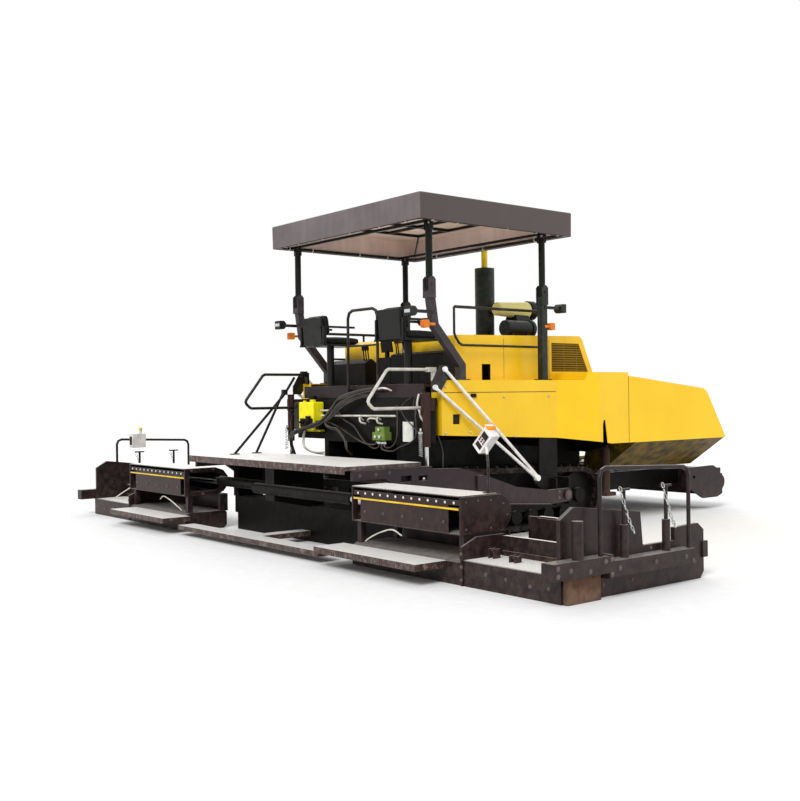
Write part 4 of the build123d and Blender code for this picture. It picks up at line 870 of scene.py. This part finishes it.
class PAVER_OT_end_bolts(bpy.types.Operator):
    """Bolts on the joint flanges, the steps, the end plates and their beams"""
    bl_idname = "paver.end_bolts"
    bl_label = "End bolts"

    def execute(self, context):
        radius = context.scene.paver_sizes.bolt_radius
        on_step = [(3.55, 0.13), (3.78, 0.12), (4.05, 0.10), (4.25, 0.11)]        # Y, Z
        on_beam = [(-1.56, 0.25), (-1.56, 0.31), (-1.42, 0.28), (-1.2, 0.25), (-1.02, 0.31), (-0.945, 0.2),
                   (-0.945, 0.32), (-0.85, 0.24), (-0.4, 0.24), (0.0, 0.24), (0.1, 0.2)]        # X, Z
        on_plate = [(-1.2, 0.6), (-1.2, 0.45), (-0.6, 0.5), (-0.3, 0.33), (0.2, 0.3), (0.3, 0.15),
                    (-0.55, 0.1), (-0.9, 0.1)]
        flange = SCREED_REAR - 0.012
        heads = bolts([(flange - BOLT_CLEAR, 3.2625, z) for z in (0.05, 0.16, 0.27)], (-1, 0, 0),
                      radius * 0.8)
        heads += bolts([(SCREED_REAR - BOLT_CLEAR, y, z) for y, z in on_step], (-1, 0, 0), radius * 0.8)
        heads += bolts([(x, BEAM_SIDE + BOLT_CLEAR, z) for x, z in on_beam], (0, 1, 0), radius)
        heads += bolts([(x, PLATE_SIDE + BOLT_CLEAR, z) for x, z in on_plate], (0, 1, 0), radius * 0.8)
        each_side("end_bolts", heads, "extension_{side}", "bolt")
        return {"FINISHED"}


class PAVER_OT_end_boards(bpy.types.Operator):
    """Boards under the guards, the outer ends of the mouldboards and the rusted shoes at the rear corners"""
    bl_idname = "paver.end_boards"
    bl_label = "End boards"

    def execute(self, context):
        shoe = blocks([(-1.3785, -0.9975, 4.385, 4.4305, 0.002, 0.2175, 0.002)])
        each_side("rusted_shoe", shoe, "extension_{side}", "corner")
        under_guard = (-0.800, -0.792, 1.722, 3.235, 0.205, 0.4195, 0.002)
        outer_end = (-0.498, -0.457, 3.166, 3.292, 0.020, 0.510, 0.004)
        each_side("mouldboard", blocks([under_guard, outer_end]), "extension_{side}", "dark")
        return {"FINISHED"}


class PAVER_OT_jack_chains(bpy.types.Operator):
    """Two chains beside the height jacks on each end plate"""
    bl_idname = "paver.jack_chains"
    bl_label = "Jack chains"

    def execute(self, context):
        wire = context.scene.paver_sizes.chain_wire
        links = []
        for x in (-0.70, -0.16):
            links += chain((x - 0.06, 4.438, 0.845), (x + 0.10, 4.436, 0.50), 0.03, wire)
        each_side("jack_chains", links, "extension_{side}", "chrome")
        return {"FINISHED"}


class PAVER_OT_cover_trim(bpy.types.Operator):
    """Seams, latches and screws of the yellow side covers and the hood"""
    bl_idname = "paver.cover_trim"
    bl_label = "Cover trim"

    def execute(self, context):
        hood, cover = HOOD_SIDE + CLEAR, COVER_SIDE + CLEAR
        seam_rows = [(x, x + 0.004, hood - 0.001, hood + 0.0012, 1.80, 2.26, 0.0005) for x in (2.062, 1.30)]
        seam_rows += [(0.12, 1.87, cover - 0.001, cover + 0.001, 1.6315, 1.6385, 0.0005),
                      # Then a crease along the cover, and a dark sheet at the back of its square hole:
                      # painted shade
                      (0.2515, 0.3585, 1.3082, 1.3100, 1.2915, 1.3985, 0.0005)]
        turnkey = [(0, 0), (0, 0.016), (0.008, 0.014), (0.008, 0)]
        latch = [pad((1.95, hood + 0.008, 1.865), (0.034, 0.008, 0.048), 0.006, count=10),
                 spin(turnkey, (1.95, hood + 0.014, 1.885), (0, 1, 0), 14),
                 pad((0.55, cover + 0.007, 1.600), (0.040, 0.008, 0.022), 0.006, count=10)]
        screw_spots = [(0.14, 1.20), (0.14, 1.58), (0.14, 1.70), (1.02, 1.58), (1.75, 1.58), (1.2, 1.13),
                       (0.5, 1.2)]        # X, Z
        screws = bolts([(x, COVER_SIDE + BOLT_CLEAR, z) for x, z in screw_spots], (0, 1, 0), 0.009)
        for name, parts, finish_name, slot in (("cover_seams", blocks(seam_rows), "gap", "grille_black"),
                                               ("cover_latches", latch, "plastic", "grille_black"),
                                               ("cover_screws", screws, "steel", "jack_steel")):
            both = [part for _, sign in SIDES for part in mirrored(parts, sign)]
            piece(name, both, "tractor", finish_name)
        return {"FINISHED"}


class PAVER_OT_deck_trim(bpy.types.Operator):
    """The pre-cleaner's shell and cap, the deck's edge strip, and one lever with its knob"""
    bl_idname = "paver.deck_trim"
    bl_label = "Deck trim"

    def execute(self, context):
        cleaner_y, cleaner_z = -0.10, 2.705
        drum = [(0, 0), (0, 0.070), (0.02, 0.086), (0.55, 0.112), (0.56, 0)]
        cap = [(0, 0), (0, 0.124), (0.012, 0.128), (0.10, 0.128), (0.115, 0.105), (0.115, 0)]
        piece("pre_cleaner", [spin(drum, (2.10, cleaner_y, cleaner_z), (1, 0, 0), 36)], "tractor", "cream")
        piece("pre_cleaner_cap", [spin(cap, (2.66, cleaner_y, cleaner_z), (1, 0, 0), 36)], "tractor",
              "filters")
        edge = blocks([(-0.0075, 0.022, -1.158, 1.158, 1.7302, 1.7345, 0.001)])
        piece("deck_edge", edge, "tractor", "tread")
        stick = tube([(0.40, -0.285, 2.085), (0.385, -0.325, 2.27)], 0.013, 12)
        piece("pale_lever", [stick], "tractor", "pale")
        knob = [(0, 0), (0.004, 0.018), (0.03, 0.024), (0.05, 0.018), (0.056, 0)]
        piece("lever_knob", [spin(knob, (0.386, -0.323, 2.262), (-0.08, -0.2, 1))], "tractor", "orange")
        return {"FINISHED"}


class PAVER_OT_arm_trim(bpy.types.Operator):
    """Bolts of the tow arms, the springs beside the lift rods and the props of the left grab rail"""
    bl_idname = "paver.arm_trim"
    bl_label = "Arm trim"

    def execute(self, context):
        radius = context.scene.paver_sizes.bolt_radius
        spots = [(-1.22, 0.83), (-1.02, 0.83), (-0.85, 0.84), (-0.55, 0.60), (-0.40, 0.60), (-0.55, 0.48),
                 (-0.40, 0.48), (1.62, 0.42), (1.62, 0.49)]        # X, Z
        heads = bolts([(x, ARM_SIDE + CLEAR, z) for x, z in spots], (0, 1, 0), radius)
        heads += bolts([(1.75, 1.6255, 0.45)], (0, 1, 0), 0.034)
        each_side("arm_bolts", heads, "screed", "bolt")
        spring_x, spring_y, coil_radius, turns = -0.185, 1.30, 0.02, 11
        t = np.linspace(0, 1, 160)
        angle = t * turns * 2 * math.pi
        coil = np.stack([spring_x + coil_radius * np.cos(angle), spring_y + coil_radius * np.sin(angle),
                         0.96 + 0.24 * t], -1)
        cup = [(0, 0), (0, 0.024), (0.02, 0.026), (0.03, 0.012), (0.06, 0.010), (0.06, 0)]
        fitting = [tube(coil, 0.004, 7), spin(cup, (spring_x, spring_y, 1.20), (0, 0, 1), 14)]
        each_side("lift_spring", fitting, "tractor", "chrome")
        props = [tube([(-0.955, 1.265, 0.926), (-0.23, 1.265, 1.646), (-0.085, 1.265, 1.85)], 0.016),
                 tube([(-0.630, 1.300, 0.926), (-0.215, 1.300, 1.690)], 0.016)]
        props += [pad((x, y, 0.932), (0.05, 0.035, 0.006), 0.003)
                  for x, y in ((-0.95, 1.265), (-0.62, 1.300))]
        props += [pad((-0.222, 1.2825, 1.668), (0.032, 0.030, 0.034), 0.008)]
        piece("props_left", props, "screed", "black")
        return {"FINISHED"}


# Routes of the formed pipes on the tractor's rear wall, as listed points
VALVE_PIPES = [
    [(-0.06, -0.53, 1.09), (-0.065, -0.53, 1.04), (-0.05, -0.62, 1.03), (-0.03, -0.70, 1.12),
     (-0.03, -0.72, 1.30), (-0.03, -0.72, 1.50)],
    [(-0.06, -0.49, 1.09), (-0.07, -0.49, 1.01), (-0.06, -0.66, 0.99), (-0.05, -0.76, 1.03),
     (-0.03, -1.02, 1.14), (-0.03, -1.04, 1.40), (-0.03, -1.04, 1.56)],
    [(-0.06, -0.43, 1.09), (-0.07, -0.42, 1.03), (-0.06, -0.30, 1.02), (-0.04, -0.10, 1.10),
     (-0.03, 0.10, 1.26), (-0.03, 0.30, 1.34), (-0.03, 0.48, 1.50)],
    [(-0.06, -0.39, 1.09), (-0.08, -0.37, 1.06), (-0.07, -0.20, 1.06), (-0.05, 0.05, 1.12),
     (-0.05, 0.25, 1.20), (-0.05, 0.50, 1.28), (-0.05, 0.728, 1.30)],
]
LONG_BUNDLE = [(-0.03, -0.50, 1.66), (-0.10, -0.45, 1.685), (-0.13, -0.12, 1.64), (-0.13, 0.14, 1.58),
               (-0.13, 0.27, 1.53), (-0.13, 0.41, 1.41), (-0.15, 0.60, 1.28), (-0.20, 0.84, 1.21),
               (-0.22, 1.10, 1.14), (-0.16, 1.235, 1.04), (-0.10, 1.245, 0.90)]
SHORT_BUNDLE = [(-0.03, -0.30, 1.62), (-0.10, -0.10, 1.60), (-0.12, 0.12, 1.53), (-0.12, 0.30, 1.44),
                (-0.12, 0.44, 1.33), (-0.12, 0.54, 1.256), (-0.12, 0.42, 1.205), (-0.12, 0.28, 1.19),
                (-0.12, 0.142, 1.086), (-0.12, 0.11, 0.99), (-0.05, 0.10, 0.93)]
THIN_PIPES = [
    [(-0.02, -1.12, 1.67), (-0.05, -1.15, 1.62), (-0.05, -1.04, 1.56), (-0.04, -1.01, 1.46)],
    [(-0.03, -0.97, 1.585), (-0.05, -0.87, 1.53), (-0.05, -0.81, 1.46), (-0.05, -0.87, 1.37),
     (-0.05, -1.00, 1.28), (-0.05, -1.12, 1.19)],
    [(0.013, -1.352, 1.174), (0.05, -1.352, 1.09), (0.079, -1.352, 0.994), (0.078, -1.352, 0.90),
     (0.075, -1.352, 0.80)],
    [(-0.02, 1.16, 1.44), (-0.10, 1.265, 1.40), (-0.14, 1.275, 1.28), (-0.12, 1.255, 1.12)],
]
PALE_PIPES = [
    [(-0.03, -0.09, 1.33), (-0.09, -0.10, 1.36), (-0.09, -0.12, 1.31), (-0.03, -0.13, 1.29)],
    [(-0.03, -0.42, 1.34), (-0.09, -0.43, 1.36), (-0.09, -0.44, 1.31), (-0.03, -0.45, 1.29)],
    [(-0.03, -0.36, 1.345), (-0.09, -0.30, 1.355), (-0.08, -0.24, 1.33), (-0.03, -0.20, 1.31)],
    [(-0.06, -1.13, 1.62), (-0.10, -1.155, 1.56), (-0.10, -1.15, 1.50), (-0.08, -1.16, 1.44),
     (-0.09, -1.19, 1.38), (-0.06, -1.20, 1.33)],
    [(-0.03, -0.62, 1.665), (-0.09, -0.60, 1.69), (-0.10, -0.52, 1.695), (-0.10, -0.45, 1.68)],
    [(-0.09, 1.05, 1.19), (-0.10, 1.06, 1.09), (-0.10, 1.04, 0.99), (-0.06, 0.93, 0.93),
     (0.01, 0.735, 0.90)],
    [(-0.12, 0.99, 1.19), (-0.13, 1.00, 1.09), (-0.13, 0.97, 0.99), (-0.07, 0.87, 0.93),
     (0.01, 0.735, 0.93)],
]


def bundle(route, count):
    """count pipes round one route. Each starts at its own share of a circle and wanders by a sine along the
    way; the bundle swells by a squared sine, and keeps to the side of the route away from the wall."""
    line = curve_through(route, 8)
    t = np.linspace(0, 1, len(line))
    pipes = []
    for index in range(count):
        way = 2 * math.pi * index / count + 2.2 * np.sin(3.1 * t + 1.7 * index)
        spread = 0.016 + 0.030 * np.sin(math.pi * t) ** 2 * (0.6 + 0.4 * math.cos(5 * index))
        offset = np.stack([np.abs(np.sin(way)) * -0.5, np.cos(way) * 0.6, np.sin(way)], -1) * spread[:, None]
        pipes.append(tube(line + offset, 0.0125))
    return pipes


class PAVER_OT_rear_pipes(bpy.types.Operator):
    """Bent hydraulic pipes with their nuts on the tractor's rear wall"""
    bl_idname = "paver.rear_pipes"
    bl_label = "Rear pipes"

    def execute(self, context):
        dark = [pipe(route, 0.012) for route in VALVE_PIPES]
        dark += bundle(LONG_BUNDLE, 4) + bundle(SHORT_BUNDLE, 3)
        dark += [pipe(route, 0.007, 8) for route in THIN_PIPES]
        piece("rear_pipes", dark, "tractor", "coated")
        pale = [tube([(-0.055, 0.735, 1.440), (-0.055, 0.46, 1.441)], 0.011),
                tube([(-0.045, 0.735, 1.377), (-0.045, -0.70, 1.383)], 0.012)]
        pale += [pipe(route, 0.011, 9, 6) for route in PALE_PIPES]
        piece("bright_pipes", pale, "tractor", "pale")
        union = [(0, 0), (0, 0.018), (0.022, 0.018), (0.026, 0.014), (0.03, 0)]
        plug = [(0, 0), (0, 0.02), (0.02, 0.02), (0.02, 0)]
        nuts = [spin(union, route[0], (0, 0, -1), 6) for route in VALVE_PIPES]
        nuts += [spin(union, VALVE_PIPES[-1][-1], (0, -1, 0), 6)]
        nuts += [spin(plug, at, (-1, 0, 0), 6)
                 for at in ((-0.1003, -0.42, 1.15), (-0.1003, -0.50, 1.15), (-0.0803, -0.46, 1.23))]
        piece("pipe_nuts", nuts, "tractor", "chrome")
        return {"FINISHED"}


class PAVER_OT_tank_fittings(bpy.types.Operator):
    """Valves, filler cap and connectors in black on the oil tank"""
    bl_idname = "paver.tank_fittings"
    bl_label = "Tank fittings"

    def execute(self, context):
        fittings = blocks([(-0.198, -0.172, 0.735, 0.985, 1.245, 1.345, 0.008),
                           (-0.215, -0.185, 0.76, 0.84, 1.30, 1.375, 0.006),
                           (-0.205, -0.180, 0.88, 0.96, 1.225, 1.275, 0.006),
                           (-0.14, -0.04, 0.665, 0.735, 1.21, 1.32, 0.01)])
        cap = [(0, 0), (0, 0.045), (0.008, 0.050), (0.034, 0.050), (0.040, 0.044), (0.040, 0)]
        fittings += [spin(cap, (-0.09, 0.85, 1.5755), (0, 0, 1), 24)]
        connector = [(0, 0), (0, 0.024), (0.02, 0.024), (0.024, 0.015), (0.05, 0.015), (0.05, 0)]
        fittings += [spin(connector, (-0.198, y, z), (-1, 0, 0), 16) for y, z in ((0.80, 1.28), (0.91, 1.30))]
        piece("tank_fittings", fittings, "tractor", "plastic")
        return {"FINISHED"}


class PAVER_OT_lamp_glass(bpy.types.Operator):
    """Lenses of the work lamps and the signal lamps"""
    bl_idname = "paver.lamp_glass"
    bl_label = "Lamp glass"

    def execute(self, context):
        low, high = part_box("lamps")
        rear, front = low[0] - DECK_REAR, high[0] - DECK_REAR
        clear = [pad((x, 1.2685, z), (0.003, 0.045, 0.018), 0.003) for x, z in ((rear - 0.001, 2.5),
                                                                                (front + 0.001, 2.62))]
        amber = [pad((x, 1.298, z), (0.004, 0.026, 0.034), 0.004) for x, z in ((-0.143, 2.37), (1.878, 2.40))]
        for name, parts, finish_name in (("work_lamp_lenses", clear, "glass"),
                                         ("signal_lenses", amber, "amber")):
            both = [part for _, sign in SIDES for part in mirrored(parts, sign)]
            piece(name, both, "tractor", finish_name)
        return {"FINISHED"}


class PAVER_OT_control_faces(bpy.types.Operator):
    """Windows, buttons, the orange cap and the yellow knob of the two control boxes"""
    bl_idname = "paver.control_faces"
    bl_label = "Control faces"

    def execute(self, context):
        c, s = math.cos(math.radians(-45)), math.sin(math.radians(-45))

        def on_right(parts):
            """The right box's own place to the machine: leaned 45 degrees about X, then mirrored."""
            lean = np.array([[1, 0, 0], [0, c, s], [0, -s, c]])
            return mirrored([(points @ lean + (-0.85, 3.0, 1.2), quads) for points, quads in parts], -1)

        windows = [pad((-0.0505, 0.0, z), (0.0015, 0.040, half), 0.001) for z, half in ((0.055, 0.030),
                                                                                      (-0.060, 0.024))]
        piece("right_box_windows", on_right(windows), "extension_right", "window")
        button = [(0, 0), (0, 0.009), (0.008, 0.008), (0.009, 0)]
        buttons = [spin(button, (-0.050, y, z), (-1, 0, 0), 12) for y in (-0.03, 0.0, 0.03)
                   for z in (-0.012, 0.012)]
        piece("right_box_buttons", on_right(buttons), "extension_right", "knob")
        cap = [(0, 0), (0, 0.044), (0.01, 0.050), (0.03, 0.049), (0.055, 0.040), (0.068, 0.020), (0.070, 0)]
        piece("right_box_cap", [spin(cap, (-0.85, -3.055, 1.29), (0, 0, 1), 20)], "extension_right", "orange")
        window = pad((-0.8508, 4.3827, 1.005), (0.0015, 0.040, 0.06), 0.001)
        piece("left_box_window", [window], "extension_left", "window")
        ball = [(0, 0), (0.002, 0.014), (0.012, 0.026), (0.028, 0.028), (0.042, 0.020), (0.048, 0)]
        piece("left_box_ball", [spin(ball, (-0.70, 4.3827, 1.148), (0, 0, 1), 18)], "extension_left", "ball")
        return {"FINISHED"}


# The photograph's view, solved from its perspective
CAMERA_AT = (-7.361, -9.849, 1.610)
CAMERA_TURN = (38.914, -0.271, -0.681)      # degrees: yaw from +Y towards +X, pitch, roll
FOCAL = 1054.285                            # pixels, in a picture 800 pixels wide
SENSOR = 36.0
LAMPS = (("key", (-0.74, -0.44, 0.75), 2.1, 22),        # name, direction, strength, spread in degrees
         ("fill", (0.7, -0.8, 0.5), 0.35, 60),
         ("back", (0.6, 0.9, 0.9), 0.6, 40))


def pale_world(scene):
    """A studio world that lights softly, and is plain white to the camera and in reflections."""
    world = bpy.data.worlds.new("studio")
    world.use_nodes = True
    scene.world = world
    tree = world.node_tree
    light = tree.nodes["Background"]
    light.inputs["Color"].default_value = (1.0, 1.0, 1.0, 1.0)
    light.inputs["Strength"].default_value = 0.62
    seen = add(tree, "ShaderNodeBackground", {"Color": (1.0, 1.0, 1.0, 1.0), "Strength": 1.0})
    rays = add(tree, "ShaderNodeLightPath").outputs
    share = rays["Is Camera Ray"]
    for kind in ("Is Glossy Ray", "Is Transmission Ray"):
        share = add(tree, "ShaderNodeMath", {0: share, 1: rays[kind]}, operation="MAXIMUM").outputs[0]
    both = add(tree, "ShaderNodeMixShader", {0: share, 1: light.outputs[0], 2: seen.outputs[0]})
    tree.links.new(both.outputs[0], tree.nodes["World Output"].inputs["Surface"])


class PAVER_OT_stage(bpy.types.Operator):
    """Pale floor, soft lamps and the camera at the photograph's view"""
    bl_idname = "paver.stage"
    bl_label = "Stage"

    def execute(self, context):
        scene = context.scene
        half = 40
        mesh = bpy.data.meshes.new("floor")
        mesh.from_pydata([(-half, -half, 0), (half, -half, 0), (half, half, 0), (-half, half, 0)], [],
                         [(0, 1, 2, 3)])
        floor = bpy.data.objects.new("floor", mesh)
        scene.collection.objects.link(floor)
        floor.data.materials.append(FINISHES["floor"])
        pale_world(scene)
        for name, direction, strength, spread in LAMPS:
            data = bpy.data.lights.new(name, "SUN")
            data.energy = strength
            data.angle = math.radians(spread)
            lamp = bpy.data.objects.new(name, data)
            lamp.rotation_euler = Vector(direction).to_track_quat("Z", "Y").to_euler()
            scene.collection.objects.link(lamp)
        data = bpy.data.cameras.new("photo view")
        data.sensor_width = SENSOR
        data.lens = SENSOR * FOCAL / 800
        data.clip_end = 200
        camera = bpy.data.objects.new("photo view", data)
        yaw, pitch, roll = (math.radians(value) for value in CAMERA_TURN)
        ahead = Vector((math.sin(yaw) * math.cos(pitch), math.cos(yaw) * math.cos(pitch), math.sin(pitch)))
        right = Vector((math.cos(yaw), -math.sin(yaw), 0))
        up = right.cross(ahead)
        across = right * math.cos(roll) + up * math.sin(roll)
        upright = up * math.cos(roll) - right * math.sin(roll)
        place = Matrix.Translation(Vector(CAMERA_AT) + Vector((DECK_REAR, 0, 0)))
        camera.matrix_world = place @ Matrix((across, upright, -ahead)).transposed().to_4x4()
        scene.collection.objects.link(camera)
        scene.camera = camera
        scene.view_settings.view_transform = "Standard"
        return {"FINISHED"}


class PAVER_PT_panel(bpy.types.Panel):
    """Lists the steps in their order, with the sizes and colours above them"""
    bl_idname = "PAVER_PT_panel"
    bl_label = "Paver"
    bl_space_type = "VIEW_3D"
    bl_region_type = "UI"
    bl_category = "Paver"

    def draw(self, context):
        for group in (context.scene.paver_sizes, context.scene.paver_colours):
            for name in group.__annotations__:
                self.layout.prop(group, name)
        for step in STEPS:
            self.layout.operator(step.bl_idname)


STEPS = (PAVER_OT_finishes, PAVER_OT_roof, PAVER_OT_roof_ties, PAVER_OT_seats, PAVER_OT_guards,
         PAVER_OT_end_steps, PAVER_OT_end_bolts, PAVER_OT_end_boards, PAVER_OT_jack_chains,
         PAVER_OT_cover_trim, PAVER_OT_deck_trim, PAVER_OT_arm_trim, PAVER_OT_rear_pipes,
         PAVER_OT_tank_fittings, PAVER_OT_lamp_glass, PAVER_OT_control_faces, PAVER_OT_stage)
GROUPS = (PaverSizes, PaverColours)


def register():
    for item in (*GROUPS, *STEPS, PAVER_PT_panel):
        bpy.utils.register_class(item)
    bpy.types.Scene.paver_sizes = bpy.props.PointerProperty(type=PaverSizes)
    bpy.types.Scene.paver_colours = bpy.props.PointerProperty(type=PaverColours)


def unregister():
    del bpy.types.Scene.paver_sizes
    del bpy.types.Scene.paver_colours
    for item in reversed((*GROUPS, *STEPS, PAVER_PT_panel)):
        bpy.utils.unregister_class(item)


def main():
    """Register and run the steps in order."""
    register()
    for step in STEPS:
        group, name = step.bl_idname.split(".")
        getattr(getattr(bpy.ops, group), name)()


if __name__ == "__main__":
    main()
